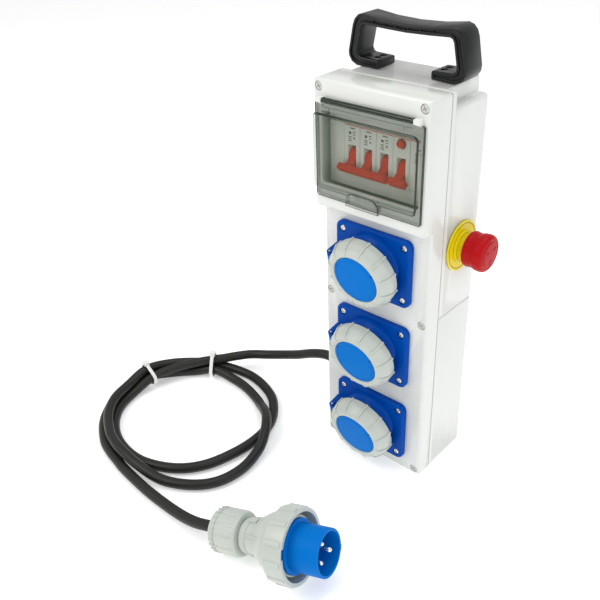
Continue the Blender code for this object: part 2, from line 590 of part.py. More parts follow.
def build_gland():
    wall = -BOX_WIDTH / 2
    frame = axes((wall, GLAND_Y, GLAND_Z), (-1, 0, 0), (0, 1, 0))
    bore = CABLE_DIAMETER / 2 + GAP
    body = turned([(bore, -12 * MM), (12.4 * MM, -12 * MM), (12.4 * MM, GAP), (15 * MM, GAP), (15 * MM, 6 * MM),
                   (11.2 * MM, 6.5 * MM), (11.2 * MM, 13 * MM), (bore, 13 * MM)], frame, 24)
    keep(body, "gland_body", "black")
    nut = turned([(11.6 * MM, 7 * MM), (14.5 * MM, 7 * MM), (14.5 * MM, 16 * MM), (12 * MM, 23 * MM),
                  (7.5 * MM, 29.7 * MM), (bore, 29.7 * MM), (bore, 13.4 * MM), (11.6 * MM, 13.4 * MM)], frame, 24)
    keep(nut, "gland_nut", "black")


# ---------------------------------------------------------------- lead and plug

LOOP_CENTRE = (-190, -125)          # the numbers of the lead's route are millimetres and degrees
LEAD_IN = [(-90.3, 7, 57), (-104, 6.8, 55.5), (-122, 6, 49), (-143, 5, 38.5), (-165, 3, 29.5), (-187, -3, 23),
           (-206, -13, 20.5)]
LOOPS = [  # angle about the loops' centre, radius, height
    (106, 101.5, 20.4), (113, 94, 19.6), (121, 88.6, 19.2), (135, 83, 18.3), (155, 81.5, 16.2), (174, 82.6, 14),
    (193, 86, 6.6),
    (210, 88, 5.8), (227, 88, 5.8), (246, 87.5, 5.8), (265, 87.2, 5.8), (284, 88, 5.8), (307, 88, 5.8),
    (328, 86.5, 5.8), (353, 84.6, 5.8), (374, 88, 5.8), (390, 91, 5.8), (405, 92.5, 5.8), (421, 93.5, 5.8),
    (441, 93.5, 5.8), (458, 93.5, 6.2),
    (481, 94.4, 9), (495, 93.2, 12), (515, 93.5, 16.2), (534, 93, 20.4), (553, 92, 16.4), (570, 94, 16.2),
    (587, 94, 16.2), (606, 94, 16.4), (616, 94.6, 16.6), (627, 96, 16.6), (644, 99.8, 12.8), (661, 106.5, 6.6),
    (678, 113, 5.8), (692, 115, 5.8), (707, 109.5, 5.8), (722, 102, 8.6), (732, 97, 14.6), (741, 92, 17.8),
    (750, 87, 16.8), (758, 82.5, 13.8), (770, 78, 7.8), (781, 76, 5.8), (799, 74.5, 5.8), (817, 76, 6.2),
    (839, 82, 9), (855, 82.5, 6), (875, 87.5, 5.8), (894, 93, 8.7), (913, 98, 5.8), (930, 100, 5.8),
    (947, 100.4, 5.8), (965, 100.9, 5.8), (977, 101.4, 5.8), (988, 103, 5.8), (997, 107, 5.8)]
TAIL = [(-139.6, -235, 5.8), (-107, -236, 6), (-80, -236.2, 8.2), (-60, -235.6, 12.4), (-45.7, -233.5, 16.6),
        (-33.1, -230.5, 19.5)]
TIES = {"cable_tie_near_box": (121, [(88.5, 19.2), (93.9, 9), (81.2, 8.7)]),
        "cable_tie_far": (174, [(82.4, 13.7), (92.9, 20), (92.9, 8.6)])}


def on_loop(angle, radius, height):
    a = math.radians(angle)
    return LOOP_CENTRE[0] + radius * math.cos(a), LOOP_CENTRE[1] + radius * math.sin(a), height


def smooth_route(points, count):
    """Catmull-Rom curve through the points, read at even steps along its length."""
    p = [Vector(q) * MM for q in points]
    p = [2 * p[0] - p[1]] + p + [2 * p[-1] - p[-2]]
    fine = []
    for i in range(1, len(p) - 2):
        a, b, c, d = p[i - 1:i + 3]
        for step in range(12):
            t = step / 12
            fine.append(0.5 * (2 * b + (c - a) * t + (2 * a - 5 * b + 4 * c - d) * t ** 2
                               + (3 * b - a - 3 * c + d) * t ** 3))
    fine.append(p[-2])
    lengths = [0.0]
    for a, b in zip(fine, fine[1:]):
        lengths.append(lengths[-1] + (b - a).length)
    even, j = [], 0
    for i in range(count):
        goal = lengths[-1] * i / (count - 1)
        while j < len(fine) - 2 and lengths[j + 1] < goal:
            j += 1
        even.append(fine[j].lerp(fine[j + 1], (goal - lengths[j]) / (lengths[j + 1] - lengths[j])))
    return even


def build_lead():
    route = LEAD_IN + [on_loop(*p) for p in LOOPS] + TAIL
    points = smooth_route(route, 80)
    curve = bpy.data.curves.new("power_lead", "CURVE")
    curve.dimensions = "3D"
    spline = curve.splines.new("POLY")
    spline.points.add(len(points) - 1)
    for target, point in zip(spline.points, points):
        target.co = (*point, 1.0)
    curve.bevel_depth = CABLE_DIAMETER / 2
    curve.bevel_resolution = 2
    curve.use_fill_caps = True
    keep(add("power_lead", curve), "power_lead", "rubber", roughness=0.6, smooth=False)


def build_ties():
    """Bands round the three strands, each the outline of three circles with a thin wall."""
    for name, (angle, strands) in TIES.items():
        a = math.radians(angle)
        outward = (math.cos(a), math.sin(a), 0)
        along = Vector((-math.sin(a), math.cos(a), 0))
        middle = [sum(s[i] for s in strands) / 3 for i in (0, 1)]
        origin = Vector(on_loop(angle, *middle)) * MM
        frame = axes(origin - along * 2 * MM, along, outward)
        bands = []
        for reach in (CABLE_DIAMETER / 2 + 2.8 * MM, CABLE_DIAMETER / 2 + 1.7 * MM):
            outline = []
            for k in range(36):
                t = math.tau * k / 36
                # local Y runs down when local Z is along the lead, so heights are turned over
                outline.append(max(((s[0] - middle[0]) * MM * math.cos(t) + (s[1] - middle[1]) * MM * math.sin(t)
                                    + reach, t, s) for s in strands))
            bands.append([((s[0] - middle[0]) * MM + reach * math.cos(t),
                           -((s[1] - middle[1]) * MM + reach * math.sin(t))) for _, t, s in outline])
        band = slab(bands[0], 4 * MM, frame)
        hole = slab(bands[1], 8 * MM, frame @ Matrix.Translation((0, 0, -2 * MM)))
        top = max(p[1] for p in strands) - middle[1]
        head = box((-3.5 * MM, 3.5 * MM), (-(top + 11.4) * MM, -(top + 7) * MM), (-1 * MM, 5 * MM), frame)
        if len({round(s[0]) for s in strands}) == 2:
            head.matrix_world = frame @ Matrix.Translation((3.5 * MM, 0, 0))
        join(band, head)
        cut(band, hole)
        keep(band, name, "tie", smooth=False)


def build_plug():
    pitch = PLUG_PITCH
    forward = (math.cos(PLUG_YAW) * math.cos(pitch), math.sin(PLUG_YAW) * math.cos(pitch), math.sin(pitch))
    frame = axes(PLUG_BACK, forward, (math.sin(PLUG_YAW), -math.cos(PLUG_YAW), 0))
    bore = CABLE_DIAMETER / 2 + GAP
    nut = turned([(bore, 0), (17.6 * MM, 0), (21.3 * MM, 4.6 * MM), (21.3 * MM, 29.6 * MM), (19.9 * MM, 31.5 * MM),
                  (14.5 * MM, 31.5 * MM), (14.5 * MM, 3.7 * MM), (bore, 3.7 * MM)], frame)
    keep(nut, "plug_gland_nut", "grey")
    body = turned([(bore, 4.1 * MM), (14.1 * MM, 4.1 * MM), (14.1 * MM, 33.3 * MM), (16.2 * MM, 34.2 * MM),
                   (16.2 * MM, 46.3 * MM), (25.9 * MM, 61 * MM), (26.8 * MM, 64.8 * MM), (26.8 * MM, 85.1 * MM),
                   (0, 85.1 * MM), (0, 64.8 * MM), (bore, 64.8 * MM)], frame)
    keep(body, "plug_body", "grey")
    ring = turned([(27.2 * MM, 70.3 * MM), (33.8 * MM, 70.3 * MM), (35.2 * MM, 72.2 * MM), (35.2 * MM, 90.6 * MM),
                   (30.5 * MM, 90.6 * MM), (30.5 * MM, 75.9 * MM), (27.2 * MM, 75.9 * MM)], frame, 28)
    keep(ring, "plug_bayonet_ring", "grey")
    sleeve = turned([(0, 85.4 * MM), (25 * MM, 85.4 * MM), (25 * MM, 87.9 * MM), (21.5 * MM, 88.4 * MM),
                     (21.5 * MM, 118.4 * MM), (18.9 * MM, 118.4 * MM), (18.9 * MM, 89.7 * MM), (0, 89.7 * MM)], frame)
    key = box((-2.8 * MM, 2.8 * MM), (20.6 * MM, 23.4 * MM), (88 * MM, 117.5 * MM),
              frame @ Matrix.Rotation(PLUG_KEY_TURN, 4, "Z"))
    join(sleeve, key)
    contacts = rod((0, 0, 90 * MM), (0, 0, 92 * MM), 13.9 * MM, 24, matrix=frame)
    for k in range(3):
        a = PLUG_KEY_TURN + math.radians(90 + 120 * k)
        p = Vector((9.6 * MM * math.cos(a), 9.6 * MM * math.sin(a), 0))
        pin = rod(p + Vector((0, 0, 91 * MM)), p + Vector((0, 0, 112.5 * MM)), (3.0 if k == 0 else 2.5) * MM, 12,
                  matrix=frame)
        join(contacts, bevel(pin, 0.8 * MM, 1))
    keep(contacts, "plug_contact_pins", "chrome", 1.0, 0.2)
    keep(sleeve, "plug_sleeve", "cap_blue")


def main():
    build_tub()
    build_lid()
    build_gasket()
    build_lid_screws()
    build_window()
    build_rail()
    build_breakers()
    for index, z in enumerate(reversed(SOCKET_HEIGHTS), start=1):
        build_socket(index, z)
    build_stop_button()
    build_handle()
    build_gland()
    build_lead()
    build_ties()
    build_plug()


main()
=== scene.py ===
"""Looks of a portable power distribution box: finishes, fine shapes, lead, studio and camera.

Sizes and places are millimetres in the frame's axes, +Z up and the front towards -Y. A Workpiece
scales them to metres. The studio and the depths of the finishes are given in metres.
"""
from __future__ import annotations

import logging
import math
from dataclasses import dataclass, field
from enum import Enum
from typing import Any, Callable, Sequence

import bmesh
import bpy
from mathutils import Matrix, Vector


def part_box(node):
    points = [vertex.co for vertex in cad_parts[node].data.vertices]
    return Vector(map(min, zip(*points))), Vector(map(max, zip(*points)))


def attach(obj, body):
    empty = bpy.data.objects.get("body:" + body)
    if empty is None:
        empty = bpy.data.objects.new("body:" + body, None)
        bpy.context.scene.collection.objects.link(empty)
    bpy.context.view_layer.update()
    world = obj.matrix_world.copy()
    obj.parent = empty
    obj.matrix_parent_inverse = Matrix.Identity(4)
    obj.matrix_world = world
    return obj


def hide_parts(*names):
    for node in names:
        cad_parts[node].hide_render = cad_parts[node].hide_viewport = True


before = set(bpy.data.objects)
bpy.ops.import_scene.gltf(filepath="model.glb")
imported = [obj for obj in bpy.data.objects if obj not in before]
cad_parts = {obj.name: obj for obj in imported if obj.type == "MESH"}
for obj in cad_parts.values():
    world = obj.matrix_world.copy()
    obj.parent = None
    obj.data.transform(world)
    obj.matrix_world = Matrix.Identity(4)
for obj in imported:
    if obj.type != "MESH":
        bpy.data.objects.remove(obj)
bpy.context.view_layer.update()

MM = 0.001
HAIR = 0.1  # slack, in millimetres, when a face or edge is picked by its place
Colour = tuple[float, float, float]
Point = tuple[float, float, float]
Profile = Sequence[tuple[float, ...]]
Test = Callable[[Vector, Vector], bool]
LOG = logging.getLogger("power_box")


# ------------------------------------------------------------------ shader maths


class Value:
    """A number socket that builds Math nodes from Python operators."""

    def __init__(self, shader: "Shader", socket: bpy.types.NodeSocket) -> None:
        """Wrap a socket of a shader's tree."""
        self.shader = shader
        self.socket = socket

    def _maths(self, operation: str, first: Any, second: Any) -> "Value":
        """Add a Math node on two values or numbers."""
        node = self.shader.node("ShaderNodeMath", {"operation": operation}, {0: first, 1: second})
        return Value(self.shader, node.outputs[0])

    def __add__(self, other: Any) -> "Value":
        """Sum."""
        return self._maths("ADD", self, other)

    __radd__ = __add__

    def __mul__(self, other: Any) -> "Value":
        """Product."""
        return self._maths("MULTIPLY", self, other)

    __rmul__ = __mul__

    def __sub__(self, other: Any) -> "Value":
        """Difference."""
        return self._maths("SUBTRACT", self, other)

    def __rsub__(self, other: Any) -> "Value":
        """Difference with the number first."""
        return self._maths("SUBTRACT", other, self)

    def power(self, exponent: float) -> "Value":
        """The value raised to a power."""
        return self._maths("POWER", self, exponent)


class Shader:
    """A Principled material under construction."""

    def __init__(self, name: str) -> None:
        """Start an empty node material.

        Args:
            name: the material's name.
        """
        self.material = bpy.data.materials.new(name)
        self.material.use_nodes = True
        self.tree = self.material.node_tree
        self.surface = self.tree.nodes["Principled BSDF"]
        self.place = self.node("ShaderNodeTexCoord", {}, {}).outputs["Object"]

    def node(self, kind: str, settings: dict[str, Any], inputs: dict[Any, Any]) -> bpy.types.Node:
        """Add a node.

        Args:
            kind: Blender's node type.
            settings: properties set before the inputs.
            inputs: values or links by input name or number.

        Returns:
            The new node.
        """
        made = self.tree.nodes.new(kind)
        for key, value in settings.items():
            setattr(made, key, value)
        for key, value in inputs.items():
            self.feed(made.inputs[key], value)
        return made

    def feed(self, target: bpy.types.NodeSocket, value: Any) -> None:
        """Link or set one input.

        Args:
            target: the input socket.
            value: a Value, a socket, a number or a colour.
        """
        if isinstance(value, Value):
            value = value.socket
        if isinstance(value, bpy.types.NodeSocket):
            self.tree.links.new(value, target)
        else:
            target.default_value = value

    def noise(self, scale: float, detail: float = 3.0, stretch: Point = (1, 1, 1)) -> Value:
        """Noise on object coordinates.

        Args:
            scale: waves in a metre.
            detail: octaves.
            stretch: scale along each axis.

        Returns:
            The noise, about 0 to 1.
        """
        spot = self.node("ShaderNodeMapping", {}, {"Vector": self.place, "Scale": stretch})
        made = self.node("ShaderNodeTexNoise", {},
                         {"Vector": spot.outputs[0], "Scale": scale, "Detail": detail})
        return Value(self, made.outputs["Fac"])

    def blend(self, factor: Value, dark: Colour, light: Colour) -> bpy.types.NodeSocket:
        """Colour between two, by a factor.

        Args:
            factor: 0 for the first colour, 1 for the second.
            dark: the first colour.
            light: the second colour.

        Returns:
            The mixed colour's socket.
        """
        mix = self.node("ShaderNodeMix", {"data_type": "RGBA"}, {0: factor, 6: (*dark, 1), 7: (*light, 1)})
        return mix.outputs[2]

    def relief(self, height: Value, strength: float, depth: float) -> None:
        """Bump the surface.

        Args:
            height: the height field, 0 to 1.
            strength: the bump's strength.
            depth: what a height of one stands for, in metres.
        """
        bump = self.node("ShaderNodeBump", {}, {"Strength": strength, "Distance": depth, "Height": height})
        self.feed(self.surface.inputs["Normal"], bump.outputs[0])

    def constants(self, **values: Any) -> None:
        """Set plain values on the surface; an underscore stands for a space."""
        for key, value in values.items():
            self.surface.inputs[key.replace("_", " ")].default_value = value


@dataclass(frozen=True)
class Plastic:
    """Moulded plastic with a faint cloudiness, fine grain and uneven gloss."""

    name: str
    colour: Colour
    roughness: float = 0.3
    grain: float = 900.0
    depth: float = 0.00003
    cloud: float = 0.05
    coat: float = 0.0
    glint: float = 0.5

    def build(self) -> bpy.types.Material:
        """Make the material."""
        shader = Shader(self.name)
        clouds = shader.noise(18.0, 4.0)
        scuffs = shader.noise(140.0, 6.0, (1, 1, 0.25)).power(3.0)
        low = tuple(c * (1 - self.cloud) for c in self.colour)
        high = tuple(min(1.0, c * (1 + self.cloud)) for c in self.colour)
        shader.feed(shader.surface.inputs["Base Color"], shader.blend(clouds, low, high))
        shader.feed(shader.surface.inputs["Roughness"], self.roughness + (scuffs - 0.12) * 0.25)
        shader.relief(shader.noise(self.grain, 2.0) + shader.noise(35.0, 1.0) * 2.0, 0.35, self.depth)
        shader.constants(Coat_Weight=self.coat, Coat_Roughness=0.08, Specular_IOR_Level=self.glint)
        return shader.material


@dataclass(frozen=True)
class Metal:
    """Plated metal, brushed along one way."""

    name: str
    colour: Colour
    roughness: float = 0.3

    def build(self) -> bpy.types.Material:
        """Make the material."""
        shader = Shader(self.name)
        brush = shader.noise(900.0, 3.0, (0.15, 1, 1))
        low = tuple(c * 0.86 for c in self.colour)
        shader.feed(shader.surface.inputs["Base Color"], shader.blend(brush, low, self.colour))
        shader.feed(shader.surface.inputs["Roughness"], self.roughness + (brush - 0.5) * 0.2)
        shader.relief(brush, 0.2, 0.00002)
        shader.constants(Metallic=1.0)
        return shader.material


@dataclass(frozen=True)
class Rubber:
    """Matt rubber with a dusty bloom and fine pits."""

    name: str
    colour: Colour
    roughness: float = 0.6

    def build(self) -> bpy.types.Material:
        """Make the material."""
        shader = Shader(self.name)
        bloom = shader.noise(60.0, 5.0).power(2.0)
        dusty = tuple(min(1.0, c * 1.6 + 0.004) for c in self.colour)
        shader.feed(shader.surface.inputs["Base Color"], shader.blend(bloom, self.colour, dusty))
        shader.feed(shader.surface.inputs["Roughness"], self.roughness + (bloom - 0.25) * 0.3)
        shader.relief(shader.noise(1400.0, 2.0), 0.4, 0.00006)
        shader.constants(Specular_IOR_Level=0.35)
        return shader.material


@dataclass(frozen=True)
class Smoked:
    """Clear tinted sheet; the window's edges get a second, darker and near-opaque copy of it as painted
    shade.
    """

    name: str
    colour: Colour
    cover: float
    roughness: float = 0.06

    def build(self) -> bpy.types.Material:
        """Make the material."""
        shader = Shader(self.name)
        haze = shader.noise(25.0, 3.0)
        shader.feed(shader.surface.inputs["Base Color"],
                    shader.blend(haze, self.colour, tuple(c * 1.15 for c in self.colour)))
        shader.feed(shader.surface.inputs["Roughness"], self.roughness + haze * 0.05)
        shader.feed(shader.surface.inputs["Alpha"], self.cover + (haze - 0.5) * 0.06)
        shader.relief(shader.noise(20.0, 1.0), 0.15, 0.0002)
        return shader.material


class Finish(Enum):
    """The finishes of the box, by the record's slot."""

    CASING = ("casing", Plastic("casing_white", (0.765, 0.78, 0.75), 0.2, 700.0, 0.00002, 0.015, 0.2))
    LID_SCREW = ("casing", Plastic("lid_screw_grey", (0.60, 0.61, 0.58), 0.35))
    GASKET = ("gasket", Rubber("seal_grey", (0.30, 0.31, 0.30)))
    WINDOW = ("smoked_window", Smoked("window_smoke", (0.06, 0.11, 0.045), 0.20))
    # painted shade: a darker, near-opaque tint for the window's rounded edges and rim, standing in for clear
    # plastic darkening where it is seen edge-on
    WINDOW_EDGE = ("smoked_window", Smoked("window_painted_edge_shade", (0.006, 0.016, 0.008), 0.90))
    STEEL = ("steel", Metal("screw_zinc", (0.80, 0.80, 0.79), 0.24))
    BREAKER = ("breaker_housing", Plastic("breaker_ivory", (0.80, 0.81, 0.76), 0.4, 1200.0))
    RED = ("red_plastic", Plastic("lever_red", (0.70, 0.002, 0.010), 0.35, glint=0.1))
    RED_GLOSS = ("red_plastic", Plastic("stop_red", (0.47, 0.004, 0.008), 0.3, glint=0.12))
    SOCKET = ("socket_blue", Plastic("socket_deep_blue", (0.0, 0.068, 0.40), 0.28, glint=0.07))
    CAP = ("cap_blue", Plastic("cap_sky_blue", (0.0, 0.17, 0.60), 0.42, glint=0.05))
    GREY = ("light_grey", Plastic("ring_light_grey", (0.54, 0.58, 0.535), 0.34, 1100.0))
    CONTACT = ("contact_blue", Plastic("contact_dark_blue", (0.01, 0.06, 0.22), 0.4))
    YELLOW = ("yellow_plastic", Plastic("stop_yellow", (0.86, 0.70, 0.004), 0.28, glint=0.3))
    BLACK = ("black_plastic", Plastic("handle_black", (0.006, 0.008, 0.007), 0.3, 500.0, 0.00006, glint=0.35))
    LEAD = ("lead_rubber", Rubber("lead_rubber_black", (0.010, 0.011, 0.009), 0.42))
    CHROME = ("chrome_pins", Metal("pin_nickel", (0.85, 0.85, 0.83), 0.14))
    TIE = ("white_nylon", Plastic("tie_nylon", (0.82, 0.82, 0.80), 0.4))
    PRINT = ("breaker_housing", Plastic("print_grey", (0.05, 0.055, 0.055), 0.55))

    @property
    def slot(self) -> str:
        """The record's material slot."""
        return self.value[0]

    def material(self) -> bpy.types.Material:
        """The finish's material, built on first use."""
        recipe = self.value[1]
        return bpy.data.materials.get(recipe.name) or recipe.build()


# ------------------------------------------------------------------ modelling


def deselect() -> None:
    """Leave edit mode and select nothing."""
    if bpy.context.object and bpy.context.object.mode != "OBJECT":
        bpy.ops.object.mode_set(mode="OBJECT")
    bpy.ops.object.select_all(action="DESELECT")


def axes(origin: Sequence[float], z_axis: Sequence[float], x_axis: Sequence[float]) -> Matrix:
    """Local frame, in metres, from an origin and two directions.

    Args:
        origin: the frame's origin, in millimetres.
        z_axis: where local Z points.
        x_axis: roughly where local X points.

    Returns:
        The frame's matrix.
    """
    z = Vector(z_axis).normalized()
    x = Vector(x_axis)
    x = (x - z * x.dot(z)).normalized()
    turn = Matrix((x, z.cross(x), z)).transposed().to_4x4()
    return shift(*origin) @ turn


def shift(x: float, y: float, z: float) -> Matrix:
    """Move by millimetres."""
    return Matrix.Translation(Vector((x, y, z)) * MM)


def extent(node: str) -> tuple[Vector, Vector, Vector]:
    """Lowest corner, highest corner and middle of a frame node, in millimetres."""
    low, high = (Vector(corner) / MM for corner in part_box(node))
    return low, high, (low + high) / 2


def soften(profile: Profile, steps: int = 4) -> list[tuple[float, float]]:
    """Round a profile's corners.

    Args:
        profile: (radius, height) or (radius, height, fillet) points.
        steps: segments in each round corner.

    Returns:
        The profile's points with the corners rounded.
    """
    done: list[tuple[float, float]] = []
    for i, point in enumerate(profile):
        here = Vector(point[:2])
        fillet = point[2] if len(point) > 2 else 0.0
        if not fillet or not 0 < i < len(profile) - 1:
            done.append((here.x, here.y))
            continue
        back = (Vector(profile[i - 1][:2]) - here).normalized() * fillet
        ahead = (Vector(profile[i + 1][:2]) - here).normalized() * fillet
        for k in range(steps + 1):
            t = k / steps
            spot = here + back * (1 - t) ** 2 + ahead * t ** 2
            done.append((spot.x, spot.y))
    return done


class Workpiece:
    """A mesh that is shaped from a primitive in edit mode and with modifiers.

    Its methods take millimetres, and the tests that pick faces and edges are given them.
    """

    def __init__(self, obj: bpy.types.Object, name: str) -> None:
        """Take hold of a new object.

        Args:
            obj: the mesh object.
            name: its name.
        """
        self.obj = obj
        obj.name = name
        obj.data.name = name

    @classmethod
    def block(cls, name: str, low: Sequence[float], high: Sequence[float]) -> "Workpiece":
        """Box between two corners."""
        deselect()
        low_corner, high_corner = Vector(low) * MM, Vector(high) * MM
        bpy.ops.mesh.primitive_cube_add(size=1, location=(low_corner + high_corner) / 2)
        bpy.context.object.scale = high_corner - low_corner
        bpy.ops.object.transform_apply(location=True, rotation=True, scale=True)
        return cls(bpy.context.object, name)

    @classmethod
    def rod(cls, name: str, radius: float, low: float, high: float, sides: int = 24,
            centre: tuple[float, float] = (0, 0)) -> "Workpiece":
        """Upright cylinder between two heights."""
        deselect()
        bpy.ops.mesh.primitive_cylinder_add(vertices=sides, radius=radius * MM, depth=(high - low) * MM,
                                            location=Vector((*centre, (low + high) / 2)) * MM)
        bpy.ops.object.transform_apply(location=True, rotation=True, scale=True)
        return cls(bpy.context.object, name)

    @classmethod
    def lathe(cls, name: str, profile: Profile, sides: int = 72, steps: int = 4) -> "Workpiece":
        """Turned shape about local Z, drawn out of a circle.

        Args:
            name: the piece's name.
            profile: (radius, height[, fillet]) points; a ring's profile ends where it began.
            sides: segments round the axis.
            steps: segments in each round corner.

        Returns:
            The new piece.
        """
        points = [(max(r, 0.01) * MM, h * MM) for r, h in soften(profile, steps)]
        deselect()
        radius, height = points[0]
        bpy.ops.mesh.primitive_circle_add(vertices=sides, radius=radius, location=(0, 0, height))
        bpy.ops.object.transform_apply(location=True, rotation=True, scale=True)
        bpy.ops.object.mode_set(mode="EDIT")
        bpy.ops.mesh.select_all(action="SELECT")
        for (r0, h0), (r1, h1) in zip(points, points[1:]):
            bpy.ops.mesh.extrude_edges_move(TRANSFORM_OT_translate={"value": (0, 0, h1 - h0)})
            bpy.ops.transform.resize(value=(r1 / r0, r1 / r0, 1), center_override=(0, 0, 0))
        piece = cls(bpy.context.object, name)
        piece.tidy()
        return piece

    @classmethod
    def plate(cls, name: str, width: float, height: float, corner: float, thickness: float,
              segments: int = 8) -> "Workpiece":
        """Flat plate on local XY with round corners, from z = 0 up."""
        deselect()
        bpy.ops.mesh.primitive_plane_add(size=1)
        bpy.context.object.scale = (width * MM, height * MM, 1)
        bpy.ops.object.transform_apply(location=True, rotation=True, scale=True)
        bpy.ops.object.mode_set(mode="EDIT")
        bpy.ops.mesh.select_all(action="SELECT")
        bpy.ops.mesh.bevel(offset=corner * MM, segments=segments, affect="VERTICES")
        bpy.ops.mesh.select_all(action="SELECT")
        bpy.ops.mesh.extrude_region_move(TRANSFORM_OT_translate={"value": (0, 0, thickness * MM)})
        piece = cls(bpy.context.object, name)
        piece.tidy()
        return piece

    @classmethod
    def slab(cls, name: str, outline: Sequence[tuple[float, float]], width: float) -> "Workpiece":
        """Upright plate on local XZ, as wide as said along Y.

        Args:
            name: the piece's name.
            outline: its corners in X and Z, in order.
            width: its width, half on each side.

        Returns:
            The new piece.
        """
        deselect()
        bpy.ops.mesh.primitive_circle_add(vertices=len(outline), radius=1, fill_type="NGON")
        made = cls(bpy.context.object, name)
        for vertex, (x, z) in zip(made.obj.data.vertices, outline):
            vertex.co = Vector((x, -width / 2, z)) * MM
        made.edit()
        bpy.ops.mesh.select_all(action="SELECT")
        bpy.ops.mesh.extrude_region_move(TRANSFORM_OT_translate={"value": (0, width * MM, 0)})
        made.tidy()
        return made

    @classmethod
    def from_node(cls, node: str, name: str) -> "Workpiece":
        """Merged copy of a frame node, ready for finer edges."""
        deselect()
        copy = bpy.data.objects.new(name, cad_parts[node].data.copy())
        bpy.context.scene.collection.objects.link(copy)
        copy.data.materials.clear()
        bpy.context.view_layer.objects.active = copy
        copy.select_set(True)
        bpy.ops.object.mode_set(mode="EDIT")
        bpy.ops.mesh.select_all(action="SELECT")
        bpy.ops.mesh.remove_doubles(threshold=0.01 * MM)
        bpy.ops.mesh.dissolve_limited(angle_limit=math.radians(1))
        bpy.ops.object.mode_set(mode="OBJECT")
        return cls(copy, name)

    def tidy(self) -> None:
        """Merge doubles, turn the faces outwards and leave edit mode."""
        self.edit()
        bpy.ops.mesh.select_all(action="SELECT")
        bpy.ops.mesh.remove_doubles(threshold=0.03 * MM)
        bpy.ops.mesh.normals_make_consistent(inside=False)
        bpy.ops.object.mode_set(mode="OBJECT")

    def edit(self) -> None:
        """Make this the only piece in hand, in edit mode."""
        if bpy.context.object is not self.obj or self.obj.mode != "EDIT":
            deselect()
            bpy.context.view_layer.objects.active = self.obj
            self.obj.select_set(True)
            bpy.ops.object.mode_set(mode="EDIT")

    def pick_faces(self, test: Test) -> "Workpiece":
        """Select the faces whose middle and normal pass a test."""
        self.edit()
        bpy.ops.mesh.select_mode(type="FACE")
        bpy.ops.mesh.select_all(action="DESELECT")
        work = bmesh.from_edit_mesh(self.obj.data)
        for face in work.faces:
            face.select = test(face.calc_center_median() / MM, face.normal)
        bmesh.update_edit_mesh(self.obj.data)
        return self

    def pick_edges(self, test: Test) -> "Workpiece":
        """Select the edges whose middle and direction pass a test."""
        self.edit()
        bpy.ops.mesh.select_mode(type="EDGE")
        bpy.ops.mesh.select_all(action="DESELECT")
        work = bmesh.from_edit_mesh(self.obj.data)
        for edge in work.edges:
            a, b = (v.co for v in edge.verts)
            edge.select = test((a + b) / 2 / MM, (b - a).normalized())
        bmesh.update_edit_mesh(self.obj.data)
        return self

    def inset(self, thickness: float, rise: float = 0.0) -> "Workpiece":
        """Inset the picked faces and raise them."""
        bpy.ops.mesh.inset(thickness=thickness * MM, depth=rise * MM)
        return self

    def extrude(self, move: Point) -> "Workpiece":
        """Extrude the picked faces."""
        bpy.ops.mesh.extrude_region_move(TRANSFORM_OT_translate={"value": tuple(Vector(move) * MM)})
        return self

    def bevel(self, width: float, segments: int = 4) -> "Workpiece":
        """Round the picked edges and leave edit mode."""
        bpy.ops.mesh.bevel(offset=width * MM, segments=segments, profile=0.5, affect="EDGES")
        deselect()
        return self

    def soften_edges(self, width: float, segments: int = 3, angle: float = 30.0) -> "Workpiece":
        """Round every sharp edge with a modifier and apply it."""
        deselect()
        mod = self.obj.modifiers.new("edges", "BEVEL")
        mod.width = width * MM
        mod.segments = segments
        mod.limit_method = "ANGLE"
        mod.angle_limit = math.radians(angle)
        mod.use_clamp_overlap = True
        mod.harden_normals = False
        return self.apply(mod)

    def apply(self, mod: bpy.types.Modifier) -> "Workpiece":
        """Apply one modifier."""
        bpy.context.view_layer.objects.active = self.obj
        bpy.ops.object.modifier_apply(modifier=mod.name)
        return self

    def combine(self, other: "Workpiece", operation: str) -> "Workpiece":
        """Boolean with another piece, which is used up."""
        deselect()
        mod = self.obj.modifiers.new("boolean", "BOOLEAN")
        mod.operation = operation
        mod.solver = "EXACT"
        mod.object = other.obj
        self.apply(mod)
        bpy.data.objects.remove(other.obj, do_unlink=True)
        return self

    def cut(self, *others: "Workpiece") -> "Workpiece":
        """Take other pieces out of this one."""
        for other in others:
            self.combine(other, "DIFFERENCE")
        return self

    def join(self, *others: "Workpiece") -> "Workpiece":
        """Add other pieces to this one."""
        for other in others:
            self.combine(other, "UNION")
        return self

    def gather(self, *others: "Workpiece") -> "Workpiece":
        """Hold other separate shapes in this piece's mesh."""
        deselect()
        for other in others:
            other.obj.select_set(True)
        self.obj.select_set(True)
        bpy.context.view_layer.objects.active = self.obj
        bpy.ops.object.join()
        return self

    def moved(self, matrix: Matrix) -> "Workpiece":
        """Place the mesh by a matrix; the object stays at the origin."""
        self.obj.data.transform(matrix)
        self.obj.data.update()
        return self

    def turned(self, angle: float, axis: str = "Z") -> "Workpiece":
        """Turn the mesh about a local axis through the origin."""
        return self.moved(Matrix.Rotation(angle, 4, axis))

    def paint(self, finish: Finish, test: Test) -> "Workpiece":
        """Give the faces whose middle and normal pass a test a second finish."""
        self.obj.data.materials.append(finish.material())
        last = len(self.obj.data.materials) - 1
        for face in self.obj.data.polygons:
            if test(face.center / MM, face.normal):
                face.material_index = last
        return self

